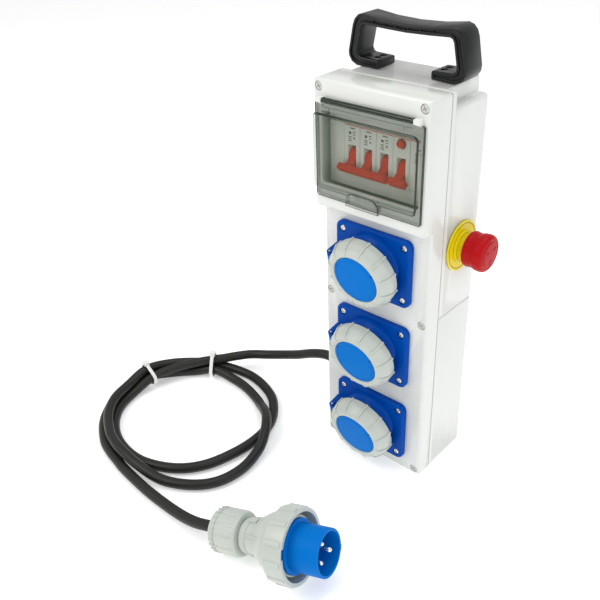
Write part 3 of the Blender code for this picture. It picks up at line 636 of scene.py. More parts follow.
    def finish(self, finish: Finish, body: str, replaces: Sequence[str] = (),
               angle: float = 35.0) -> "Workpiece":
        """Shade, dress and hang the piece on its body.

        Args:
            finish: the main finish.
            body: the frame's body that it rides on.
            replaces: the frame nodes that it stands for.
            angle: edges sharper than this stay sharp, in degrees.

        Returns:
            This piece.
        """
        deselect()
        bpy.context.view_layer.objects.active = self.obj
        self.obj.select_set(True)
        self.obj.data.materials.clear()
        self.obj.data.materials.append(finish.material())
        bpy.ops.object.shade_smooth_by_angle(angle=math.radians(angle))
        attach(self.obj, body)
        if replaces:
            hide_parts(*replaces)
        LOG.info("%s: %d faces on %s", self.obj.name, len(self.obj.data.polygons), body)
        return self


def dress(node: str, finish: Finish) -> None:
    """Give a frame node that stays a procedural finish."""
    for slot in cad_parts[node].material_slots:
        slot.material = finish.material()
    LOG.info("%s: carried over", node)


# ------------------------------------------------------------------ casing


def cross_screw(name: str, radius: float, length: float) -> Workpiece:
    """Screw along local -Z with a domed head and a cross slot.

    Args:
        name: the screw's name.
        radius: the head's radius.
        length: its length from the head's top.

    Returns:
        The screw, its head's top at the origin.
    """
    shank, head_height, slot_depth = radius * 0.4, 2.3, 1.3
    screw = Workpiece.lathe(name, [
        (0, 0), (radius * 0.6, -0.1), (radius, -0.6, 0.3), (radius, -head_height), (shank, -head_height),
        (shank, -length), (0, -length)], 32)
    reach, slot = radius * 0.62, 0.4
    for spin in (0, math.pi / 2):
        bar = Workpiece.block("slot", (-reach, -slot, -slot_depth), (reach, slot, 1))
        screw.cut(bar.turned(spin + 0.5))
    return screw


def front_screw(node: str, finish: Finish) -> None:
    """Cross-slot screw that faces the front, in place of a frame node.

    Args:
        node: the frame's screw.
        finish: the screw's finish.
    """
    low, high, middle = extent(node)
    screw = cross_screw(f"{node}_head", (high.x - low.x) / 2, high.y - low.y)
    screw.moved(axes((middle.x, low.y, middle.z), (0, -1, 0), (1, 0, 0)))
    screw.finish(finish, "casing", [node])


@dataclass
class Casing:
    """Tub, lid, seal, lid screws and carrying handle."""

    channel_wall: float = 1.1
    channel_depth: float = 2.2
    foot_screw_x: float = 34
    foot_recess_radius: float = 3.3
    foot_screw_rise: float = 6.9
    web_width: float = 1
    web_height: float = 5.2
    webs: tuple[tuple[float, float], ...] = (
        (-34, 431), (-22, 430.8), (-10, 430.4), (2, 430.2), (14, 430.3), (26, 430.7))  # X, foot in Z

    def build(self) -> None:
        """Make every piece of the casing."""
        for node in ("base_tub", "front_lid"):
            shell = Workpiece.from_node(node, f"{node}_shell").soften_edges(0.35, 2, 40)
            shell.finish(Finish.CASING, "casing", [node], 50)
        for row in ("top", "middle", "bottom"):
            for side in ("left", "right"):
                front_screw(f"lid_screw_{row}_{side}", Finish.LID_SCREW)
        self.handle()
        dress("lid_gasket", Finish.GASKET)

    def handle(self) -> None:
        """Bridge handle with inward feet, a dipped grip and a ribbed channel in its front."""
        low, high, _ = extent("carrying_handle")
        grip = Workpiece.from_node("carrying_handle", "carrying_handle_grip")
        grip.pick_faces(lambda middle, normal: normal.y < -0.98).inset(self.channel_wall)
        grip.extrude((0, self.channel_depth, 0)).soften_edges(0.35, 2, 35)
        spots = [(x, y) for x in (-self.foot_screw_x, self.foot_screw_x) for y in (low.y + 9, high.y - 8)]
        for spot in spots:
            grip.cut(Workpiece.rod("recess", self.foot_recess_radius, low.z + 5, low.z + 15, 24, spot))
        grip.finish(Finish.BLACK, "casing", ["carrying_handle"], 40)
        half = self.web_width / 2
        webs = [Workpiece.block("carrying_handle_webs", (x - half, low.y + 0.7, z),
                                (x + half, low.y + self.channel_depth + 1, z + self.web_height))
                for x, z in self.webs]
        webs[0].gather(*webs[1:]).soften_edges(0.15, 1).finish(Finish.BLACK, "casing")
        for k, (x, y) in enumerate(spots):
            screw = cross_screw(f"handle_screw_{k + 1}", 3, 4)
            screw.moved(axes((x, y, low.z + self.foot_screw_rise), (0, 0, 1), (1, 0.4, 0)))
            screw.finish(Finish.STEEL, "casing")


# ------------------------------------------------------------------ breaker row


@dataclass
class BreakerRow:
    """Breakers, their levers, the test button and the blanking strip."""

    poles: int = 3
    gap_width: float = 0.5
    gap_depth: float = 3
    rule: tuple[float, float] = (355.2, 355.9)  # lowest and highest Z
    marks: tuple[tuple[float, float, float, float], ...] = (  # middle in X, width, foot in Z, height
        (0.5, 5.4, 352.6, 0.9), (-2.2, 2.6, 347.6, 2.2), (2.4, 3, 349.4, 0.8), (2.4, 2.4, 347.2, 0.8),
        (-2.2, 3.6, 344.8, 0.8), (-2.2, 3.2, 343, 0.8), (-2.2, 3.6, 341.2, 0.8), (2.4, 1.6, 343.6, 1.6))
    rcbo_marks_drop: float = 4.5
    strips: tuple[tuple[str, float, float], ...] = (
        ("cover_strip_lower", 298.5, 311.2), ("cover_strip_upper", 356.8, 370))
    low: Vector = field(init=False)
    pitch: float = field(init=False)

    def __post_init__(self) -> None:
        """Take the row's corner and pole pitch from the three-pole breaker."""
        self.low, high, _ = extent("breaker_body_3_pole")
        self.pitch = (high.x - self.low.x) / self.poles

    def build(self) -> None:
        """Make every piece of the row."""
        self.bodies()
        self.levers()
        self.test_button()
        self.print_marks()
        self.cover_strips()
        dress("din_rail", Finish.STEEL)

    def bodies(self) -> None:
        """Breaker housings with softened edges and parting lines."""
        for node, gaps in (("breaker_body_3_pole", self.poles - 1), ("rcbo_body", 1), ("blanking_strip", 0)):
            body = Workpiece.from_node(node, f"{node}_housing")
            low, high, _ = extent(node)
            for k in range(1, gaps + 1):
                left = low.x + k * self.pitch - self.gap_width / 2
                body.cut(Workpiece.block("gap", (left, self.low.y - 1, low.z - 1),
                                         (left + self.gap_width, self.low.y + self.gap_depth, high.z + 1)))
            body.soften_edges(0.4, 2).finish(Finish.BREAKER, "casing", [node])

    def levers(self) -> None:
        """Lever drums with a flared tip and a bar across."""
        for node, body in (("breaker_toggle_3_pole", "breaker_lever"), ("rcbo_toggle", "rcbo_lever")):
            lever = Workpiece.from_node(node, f"{node}_lever")
            lever.soften_edges(0.7, 3).finish(Finish.RED, body, [node])

    def test_button(self) -> None:
        """Oval test button in its collar."""
        low, high, middle = extent("rcbo_test_button")
        radius, length = (high.x - low.x) / 2, high.y - low.y
        button = Workpiece.lathe("test_button_cap", [
            (0, 0), (radius, 0), (radius, length, 0.9), (0, length - 0.3)], 40)
        place = axes((middle.x, high.y, middle.z), (0, -1, 0), (1, 0, 0))
        button.moved(place @ Matrix.Diagonal((1, 0.78, 1, 1)))
        button.finish(Finish.RED, "test_button", ["rcbo_test_button"])

    def print_marks(self) -> None:
        """Plain printed marks on the breakers: a red rule and small dark blocks, with no lettering."""
        face, right = self.low.y, extent("rcbo_body")[1].x
        rule_low, rule_high = self.rule
        rule = Workpiece.block("breaker_rule", (self.low.x + 1, face - 0.06, rule_low),
                               (right - 1, face + 0.2, rule_high))
        rule.finish(Finish.RED, "casing")
        blocks = []
        for pole, drop in ((0, 0), (1, 0), (2, 0), (4, self.rcbo_marks_drop)):
            for shift_x, width, foot, height in self.marks:
                left = self.low.x + (pole + 0.5) * self.pitch + shift_x - width / 2
                blocks.append(Workpiece.block("breaker_marks", (left, face - 0.05, foot - drop),
                                              (left + width, face + 0.2, foot + height - drop)))
        blocks[0].gather(*blocks[1:]).finish(Finish.PRINT, "casing")

    def cover_strips(self) -> None:
        """Light strips that close the recess above and below the breakers' noses."""
        for name, low, high in self.strips:
            strip = Workpiece.block(name, (-53, -37.2, low), (53, -35.8, high))
            strip.pick_faces(lambda middle, normal: normal.y < -0.9).inset(1.2, 0.4)
            strip.soften_edges(0.3, 2).finish(Finish.BREAKER, "casing")


@dataclass
class BreakerWindow:
    """Smoked window with a raised bubble, a long hinge barrel and a finger clip."""

    half_width: float = 56.5
    bottom: float = 289
    top: float = 375.8
    back_y: float = -50.9
    thickness: float = 2.2
    bubble_width: float = 110
    bubble_low: float = 299
    bubble_high: float = 368.5
    bubble_depth: float = 6
    rod_y: float = -53.6
    rod_z: float = 378.2
    rod_radius: float = 1.5
    barrel_radius: float = 2.6
    barrel_x: float = 46.6
    rib_x: float = 38.5
    lug_x: float = 50.5
    clip_half_width: float = 18
    clip_low: float = 290.5
    clip_high: float = 304
    clip_proud: float = 0.7
    clip_wall: float = 2
    front_y: float = field(init=False)

    def __post_init__(self) -> None:
        """Work out where the pane's front is."""
        self.front_y = self.back_y - self.thickness

    def build(self) -> None:
        """Make the pane and hang it on its hinge."""
        back, front, half = self.back_y, self.front_y, self.thickness / 2
        pane = Workpiece.block("window_pane", (-self.half_width, front, self.bottom),
                               (self.half_width, back, self.top))
        pane.pick_edges(lambda middle, along: abs(along.y) > 0.9).bevel(2, 4)
        pane.pick_edges(lambda middle, along: middle.y < front + HAIR and abs(along.y) < 0.5).bevel(0.7, 3)
        pane.join(self.bubble(half, self.bubble_depth + half, 0, 5, 2.4), self.clip())
        pane.cut(self.bubble(-1, self.bubble_depth + 1, self.thickness * 0.8, 4, 1.6), self.scoop())
        pane.join(self.barrel())
        for x in (-self.rib_x, self.rib_x):
            pane.join(Workpiece.block("rib", (x - 0.8, front - 2.6, 367),
                                      (x + 0.8, back - 1, self.rod_z - 1)))
        pane.cut(self.along_hinge(self.rod_radius, 50))
        for x in (-self.lug_x, self.lug_x):
            pane.cut(Workpiece.block("notch", (x - 3.6, front - 1, self.top - 2.2),
                                     (x + 3.6, back + 1, self.rod_z)))
        pane.finish(Finish.WINDOW, "window", ["breaker_window"], 40)
        # painted shade: the rounded edges, the rim and the faces above the hinge rod get the darker edge tint
        pane.paint(Finish.WINDOW_EDGE, self.is_rim)

    def is_rim(self, middle: Vector, normal: Vector) -> bool:
        """Whether a face belongs to a rounded edge or the pane's rim, or lies above the hinge rod's line,
        where the window gets painted shade: a darker, near-opaque tint.
        """
        rounded = 0.2 < abs(normal.y) < 0.97
        outside = abs(middle.x) > self.half_width - 0.2 or middle.z < self.bottom + 0.2
        return rounded or outside or middle.z > self.rod_z

    def bubble(self, start: float, depth: float, wall: float, corner: float, edge: float) -> Workpiece:
        """Round-cornered slab that stands out of the pane.

        Args:
            start: how far its foot is from the pane's back, towards the front.
            depth: its depth.
            wall: how much smaller it is on each side.
            corner: radius of its corners.
            edge: radius of its front edge.

        Returns:
            The slab.
        """
        tall = self.bubble_high - self.bubble_low
        slab = Workpiece.plate("bubble", self.bubble_width - 2 * wall, tall - 2 * wall, corner, depth, 6)
        slab.pick_edges(lambda middle, along: middle.z > depth - HAIR).bevel(edge, 4)
        middle_z = (self.bubble_low + self.bubble_high) / 2
        return slab.moved(axes((0, self.back_y - start, middle_z), (0, -1, 0), (1, 0, 0)))

    def clip(self) -> Workpiece:
        """Arched finger grip that runs up onto the bubble."""
        proud = self.front_y - self.bubble_depth - self.clip_proud
        grip = Workpiece.block("clip", (-self.clip_half_width, proud, self.clip_low),
                               (self.clip_half_width, self.front_y + 1, self.clip_high))
        grip.pick_edges(lambda middle, along: abs(along.y) > 0.9 and middle.z > 300).bevel(9, 8)
        return grip.pick_edges(
            lambda middle, along: middle.y < proud + HAIR and abs(along.y) < 0.5).bevel(0.9, 3)

    def scoop(self) -> Workpiece:
        """Hollow inside the finger grip."""
        half = self.clip_half_width - self.clip_wall
        hollow = Workpiece.block("scoop", (-half, self.front_y - 12, 292), (half, self.front_y + 0.9, 302))
        return hollow.pick_edges(lambda middle, along: abs(along.y) > 0.9 and middle.z > 300).bevel(7.4, 8)

    def barrel(self) -> Workpiece:
        """Long hinge barrel round the lid's rod, with the web that carries it."""
        neck = Workpiece.block("neck", (-self.barrel_x, self.rod_y - 2, self.top - 3),
                               (self.barrel_x, self.back_y, self.rod_z - 1))
        return self.along_hinge(self.barrel_radius, self.barrel_x).join(neck)

    def along_hinge(self, radius: float, half_length: float) -> Workpiece:
        """Cylinder on the hinge's line, centred in X."""
        bar = Workpiece.rod("bar", radius, -half_length, half_length, 32)
        return bar.turned(math.pi / 2, "Y").moved(shift(0, self.rod_y, self.rod_z))


# ------------------------------------------------------------------ sockets


@dataclass
class Socket:
    """One capped round socket on its flange."""

    index: int
    tilt: float = math.radians(11)
    panel_y: float = -38
    flange_size: tuple[float, float] = (84, 68)
    flange_thickness: float = 5.5
    screw_places: tuple[float, float] = (34.5, 26.5)
    ring_radius: float = 36
    ring_front_radius: float = 32.5
    ring_back: float = 14
    ring_front: float = 31.5
    disc_radius: float = 23.7
    collar_radius: float = 26.5
    collar_front: float = 25
    bore_radius: float = 22.8
    housing_back: float = -30
    hinge_x: float = -40.5
    hinge_s: float = 16
    knuckle_radius: float = 2.6
    pin_radius: float = 1.5
    ribs: int = 12
    height: float = field(init=False)
    place: Matrix = field(init=False)

    def __post_init__(self) -> None:
        """Work out the socket's tilted frame from its flange."""
        self.height = extent(self.node("body"))[2].z
        axis = (0, -math.cos(self.tilt), -math.sin(self.tilt))
        self.place = axes((0, self.panel_y, self.height), axis, (1, 0, 0))

    def node(self, part: str) -> str:
        """The frame's name of one of this socket's nodes."""
        return f"socket_{self.index}_{part}"

    def build(self) -> None:
        """Make every piece of the socket."""
        self.flange()
        self.ring()
        self.cap()
        self.screws()
        dress(self.node("contact_insert"), Finish.CONTACT)
        dress(self.node("cap_hinge_pin"), Finish.STEEL)

    def flange(self) -> None:
        """Soft-edged square flange, the tilted collar on it and the housing behind."""
        width, tall = self.flange_size
        thick = self.flange_thickness
        flange = Workpiece.plate(self.node("flange"), width, tall, 7, thick - 0.3, 6)
        flange.pick_edges(lambda middle, along: middle.z > thick - 0.4).bevel(1.8, 4)
        flange.moved(axes((0, self.panel_y - 0.3, self.height), (0, -1, 0), (1, 0, 0)))
        collar = self.collar_radius
        wedge = Workpiece.lathe("wedge", [
            (0, -8), (31, -8), (31, 4, 1.5), (collar, 9, 2), (collar, self.collar_front, 0.5),
            (0, self.collar_front)], 80).moved(self.place)
        wedge.cut(Workpiece.block("behind", (-45, self.panel_y - 1.3, self.height - 45),
                                  (45, self.panel_y + 40, self.height + 45)))
        housing = Workpiece.rod("housing", 25.8, self.housing_back, 2, 64).moved(self.place)
        flange.join(wedge, housing)
        for low, high in ((-9.5, -5.2), (5.2, 9.5)):
            flange.join(self.cheek(low, high))
        back = self.housing_back
        bore = Workpiece.lathe("bore", [
            (0, back + 6), (16.8, back + 6), (16.8, back + 3), (self.bore_radius, back + 3),
            (self.bore_radius, self.collar_front + 1), (0, self.collar_front + 1)], 80)
        flange.cut(bore.moved(self.place), self.on_hinge("pin_hole", self.pin_radius, 12, 20))
        front = self.panel_y - thick
        for x, z in self.corners():
            well = Workpiece.lathe("well", [(0, -1), (3.7, -1), (3.7, 3), (1.9, 3), (1.9, 7), (0, 7)], 32)
            flange.cut(well.moved(axes((x, front, z), (0, 1, 0), (1, 0, 0))))
        flange.finish(Finish.SOCKET, "casing", [self.node("body")], 40)

    def corners(self) -> list[tuple[float, float]]:
        """Where the flange's screws are, in X and Z."""
        x, z = self.screw_places
        return [(sx * x, self.height + sz * z) for sx in (-1, 1) for sz in (-1, 1)]

    def on_hinge(self, name: str, radius: float, half_length: float, sides: int) -> Workpiece:
        """Cylinder on the cap's hinge line, centred on the socket."""
        bar = Workpiece.rod(name, radius, -half_length, half_length, sides).turned(-math.pi / 2, "X")
        return bar.moved(self.place @ shift(self.hinge_x, 0, self.hinge_s))

    def cheek(self, low: float, high: float) -> Workpiece:
        """One rounded cheek of the cap's hinge."""
        x, s = self.hinge_x, self.hinge_s
        cheek = Workpiece.block("cheek", (x - 2.6, low, 2), (x + 2.6, high, s + 2.6))
        cheek.pick_edges(lambda middle, along: abs(along.y) > 0.9 and middle.z > s).bevel(2.2, 5)
        return cheek.moved(self.place)

    def ring(self) -> None:
        """Bayonet ring: a ribbed cone with a rounded rim and a smooth mouth."""
        r, f = self.ring_radius, self.ring_front_radius
        back, front, lip = self.ring_back, self.ring_front, 27.7
        inner, mouth = 29.8, 24
        ring = Workpiece.lathe(self.node("ring_shell"), [
            (inner, back), (r - 1.4, back, 0.6), (r - 1, back + 7, 2),
            (f - 1.2, front - 2.2, 1.1), (f - 3.6, front - 0.3, 1.1),
            (mouth + 0.8, front - 0.3, 0.4), (mouth, front - 1.1, 0.4),
            (mouth, lip), (inner, lip), (inner, back)], 96)
        ridge_line = [(mouth + 2.2, lip + 0.2), (mouth + 2.4, front), (f - 3, front),
                      (f - 0.2, front - 1.8), (r, back + 7.4), (r, back + 0.4),
                      (inner + 0.8, back + 0.4), (inner + 0.8, lip + 0.2)]
        for k in range(self.ribs):
            ridge = Workpiece.slab("ridge", ridge_line, 1.7)
            ring.join(ridge.turned(math.tau * (k + 0.5) / self.ribs))
        ring.moved(self.place).finish(Finish.GREY, self.node("ring"), [self.node("lock_ring")])

    def cap(self) -> None:
        """Blue disc with small nicks in its edge, a shoulder behind and an arm to its hinge."""
        rim, x = self.collar_front + 0.3, self.hinge_x
        disc, front = self.disc_radius, self.ring_front
        cap = Workpiece.lathe(self.node("cap_disc"), [
            (0, rim), (29.2, rim, 0.3), (29.2, rim + 2, 0.3), (disc, rim + 2),
            (disc, front - 0.7, 0.5), (disc - 2.6, front - 0.35, 0.3),
            (disc - 3, front - 0.75, 0.2), (disc - 3.6, front - 0.3, 0.2),
            (0, front - 0.2)], 80)
        for k in range(3):
            nick = Workpiece.block("nick", (disc - 1.6, -1, front - 2), (disc + 1, 1, front + 1))
            cap.cut(nick.turned(math.radians(30 + 120 * k)))
        cap.join(Workpiece.block("strap", (-29, -5, 11.8), (-27.6, 5, rim + 1)),
                 Workpiece.block("arm", (x, -4.8, 11.8), (-27.6, 4.8, 13.6)),
                 Workpiece.block("stem", (x - 2.2, -4.8, 11.8), (x + 2.2, 4.8, self.hinge_s)))
        cap.moved(self.place)
        cap.join(self.on_hinge("knuckle", self.knuckle_radius, 4.8, 32))
        cap.cut(self.on_hinge("pin_hole", self.pin_radius, 12, 20))
        cap.finish(Finish.CAP, self.node("lid"), [self.node("cap")], 40)

    def screws(self) -> None:
        """Four cross-slot screws in the flange's corners."""
        for row in ("upper", "lower"):
            for side in ("left", "right"):
                front_screw(self.node(f"screw_{row}_{side}"), Finish.STEEL)


# ------------------------------------------------------------------ stop button and gland

WALL_X = 60  # the tub's side walls, left and right of the middle


@dataclass
class StopButton:
    """Legend plate, bezel, plunger and mushroom head on the right wall."""

    plate_radius: float = 24
    place: Matrix = field(init=False)

    def __post_init__(self) -> None:
        """Take the button's place from its legend plate."""
        middle = extent("stop_legend_plate")[2]
        self.place = axes((WALL_X, middle.y, middle.z), (1, 0, 0), (0, 1, 0))

    def build(self) -> None:
        """Make every piece of the button."""
        r = self.plate_radius
        plate = Workpiece.lathe("stop_plate", [
            (11.4, 0.3), (r, 0.3, 0.3), (r, 1.8, 0.5), (r - 2.2, 1.8), (r - 2.5, 1.5), (r - 2.8, 1.8),
            (11.4, 1.8), (11.4, 0.3)])
        plate.moved(self.place).finish(Finish.YELLOW, "casing", ["stop_legend_plate"])
        line = Workpiece.lathe("stop_plate_line", [
            (r - 2.8, 1.5), (r - 2.2, 1.5), (r - 2.2, 1.84), (r - 2.8, 1.84), (r - 2.8, 1.5)])
        line.moved(self.place).finish(Finish.PRINT, "casing")
        bezel = Workpiece.lathe("stop_bezel", [
            (7.2, -14), (10.8, -14), (10.8, 2.1), (15.5, 2.1, 0.3), (15.5, 4.4, 0.9), (12.4, 4.4, 0.3),
            (12.4, 12, 0.5), (7.2, 12), (7.2, -14)])
        bezel.moved(self.place).finish(Finish.YELLOW, "casing", ["stop_button_bezel"])
        head = Workpiece.lathe("stop_head", [
            (0, 18.2), (13.2, 18.2), (13.2, 10), (16.2, 10, 0.7), (16.8, 13, 0.8), (16.2, 14.6, 0.8),
            (16.2, 19.6, 0.8), (17.3, 21, 0.7), (17.6, 26.4, 1.2), (16.4, 29.3, 1.4), (13.4, 30.3, 0.6),
            (12.6, 29.7, 0.5), (11, 30.6, 0.8), (0, 31)])
        for k in range(3):
            groove = Workpiece.block("arrow", (5, -0.7, 30.2), (10, 0.7, 32))
            head.cut(groove.turned(math.tau * (k + 0.25) / 3))
        head.moved(self.place).finish(Finish.RED_GLOSS, "stop_head", ["stop_button_head"])
        dress("stop_button_plunger", Finish.BLACK)
        dress("stop_contact_block", Finish.BLACK)


@dataclass
class Gland:
    """Cable gland on the left wall."""

    bore: float = 5.8
    ribs: int = 12
    place: Matrix = field(init=False)

    def __post_init__(self) -> None:
        """Take the gland's place from its nut."""
        middle = extent("gland_nut")[2]
        self.place = axes((-WALL_X, middle.y, middle.z), (-1, 0, 0), (0, 1, 0))

    def build(self) -> None:
        """Gland body and ribbed tapering nut."""
        bore = self.bore
        nut = Workpiece.lathe("gland_nut_cap", [
            (11.6, 7), (14, 7, 0.6), (14, 16, 2), (11.8, 23, 3), (7.5, 29.7, 0.6), (bore, 29.7),
            (bore, 13.4), (11.6, 13.4), (11.6, 7)])
        for k in range(self.ribs):
            rib = Workpiece.block("rib", (12.5, -0.9, 8), (14.5, 0.9, 15))
            nut.join(rib.turned(math.tau * k / self.ribs))
        nut.moved(self.place).finish(Finish.BLACK, "casing", ["gland_nut"])
        body = Workpiece.lathe("gland_shell", [
            (bore, -12), (12.4, -12), (12.4, 0.3), (15, 0.3, 0.3), (15, 6, 0.8), (11.2, 6.5), (11.2, 13),
            (bore, 13), (bore, -12)])
        body.moved(self.place).finish(Finish.BLACK, "casing", ["gland_body"])


# ------------------------------------------------------------------ lead and plug

LOOP_CENTRE = (-190, -125)
LEAD_IN = [(-90.3, 7, 57), (-104, 6.8, 55.5), (-122, 6, 49), (-143, 5, 38.5), (-165, 3, 29.5),
           (-187, -3, 23), (-206, -13, 20.5)]
LOOPS = [  # angle in degrees about the loops' centre, radius, height
    (106, 101.5, 20.4), (113, 94, 19.6), (121, 88.6, 19.2), (135, 83, 18.3), (155, 81.5, 16.2),
    (174, 82.6, 14), (193, 86, 6.6), (210, 88, 5.8), (227, 88, 5.8), (246, 87.5, 5.8), (265, 87.2, 5.8),
    (284, 88, 5.8), (307, 88, 5.8), (328, 86.5, 5.8), (353, 84.6, 5.8), (374, 88, 5.8), (390, 91, 5.8),
    (405, 92.5, 5.8), (421, 93.5, 5.8), (441, 93.5, 5.8), (458, 93.5, 6.2), (481, 94.4, 9), (495, 93.2, 12),
    (515, 93.5, 16.2), (534, 93, 20.4), (553, 92, 16.4), (570, 94, 16.2), (587, 94, 16.2), (606, 94, 16.4),
    (616, 94.6, 16.6), (627, 96, 16.6), (644, 99.8, 12.8), (661, 106.5, 6.6), (678, 113, 5.8),
    (692, 115, 5.8), (707, 109.5, 5.8), (722, 102, 8.6), (732, 97, 14.6), (741, 92, 17.8), (750, 87, 16.8),
    (758, 82.5, 13.8), (770, 78, 7.8), (781, 76, 5.8), (799, 74.5, 5.8), (817, 76, 6.2), (839, 82, 9),
    (855, 82.5, 6), (875, 87.5, 5.8), (894, 93, 8.7), (913, 98, 5.8), (930, 100, 5.8), (947, 100.4, 5.8),
    (965, 100.9, 5.8), (977, 101.4, 5.8), (988, 103, 5.8), (997, 107, 5.8)]
TAIL = [(-139.6, -235, 5.8), (-107, -236, 6), (-80, -236.2, 8.2), (-60, -235.6, 12.4), (-45.7, -233.5, 16.6),
        (-33.1, -230.5, 19.5)]


def on_loop(angle: float, radius: float, height: float) -> Point:
    """A place on the loops, in millimetres."""
    a = math.radians(angle)
    return LOOP_CENTRE[0] + radius * math.cos(a), LOOP_CENTRE[1] + radius * math.sin(a), height


def smooth_route(points: Sequence[Point], count: int) -> list[Vector]:
    """Even steps along a smooth curve.

    Args:
        points: what it passes through, in millimetres.
        count: how many points to give back.

    Returns:
        The points, in metres.
    """
    p = [Vector(q) * MM for q in points]
    p = [2 * p[0] - p[1]] + p + [2 * p[-1] - p[-2]]
    fine = []
    for i in range(1, len(p) - 2):
        a, b, c, d = p[i - 1:i + 3]
        for step in range(24):
            t = step / 24
            fine.append(0.5 * (2 * b + (c - a) * t + (2 * a - 5 * b + 4 * c - d) * t ** 2
                               + (3 * b - a - 3 * c + d) * t ** 3))
    fine.append(p[-2])
    lengths = [0.0]
    for a, b in zip(fine, fine[1:]):
        lengths.append(lengths[-1] + (b - a).length)
    even, j = [], 0
    for i in range(count):
        goal = lengths[-1] * i / (count - 1)
        while j < len(fine) - 2 and lengths[j + 1] < goal:
            j += 1
        even.append(fine[j].lerp(fine[j + 1], (goal - lengths[j]) / (lengths[j + 1] - lengths[j])))
    return even


@dataclass
class PowerLead:
    """The rubber lead in loose loops beside the box, with its two ties."""

    diameter: float = 11
    length: float = 1730
    points: int = 420
    start: Point = field(init=False)

    def build(self) -> bpy.types.Object:
        """Lay the lead.

        Returns:
            The lead's curve object.
        """
        route = LEAD_IN + [on_loop(*p) for p in LOOPS] + TAIL
        curve = bpy.data.curves.new("lead", "CURVE")
        curve.dimensions = "3D"
        spline = curve.splines.new("POLY")
        line = smooth_route(route, self.points)
        spline.points.add(len(line) - 1)
        for target, point in zip(spline.points, line):
            target.co = (*point, 1.0)
        curve.bevel_depth = self.diameter / 2 * MM
        curve.bevel_resolution = 5
        curve.use_fill_caps = True
        spline.use_smooth = True
        lead = bpy.data.objects.new("lead", curve)
        bpy.context.scene.collection.objects.link(lead)
        curve.materials.append(Finish.LEAD.material())
        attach(lead, "casing")
        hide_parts("power_lead")
        self.start = tuple(line[0])
        LOG.info("lead: %d points", len(line))
        return lead

    def ties(self) -> list[bpy.types.Object]:
        """Nylon ties with rounded edges round the three strands.

        Returns:
            The ties' objects.
        """
        made = []
        for node in ("cable_tie_near_box", "cable_tie_far"):
            tie = Workpiece.from_node(node, f"{node}_band").soften_edges(0.4, 2, 40)
            made.append(tie.finish(Finish.TIE, "casing", [node], 50).obj)
        return made


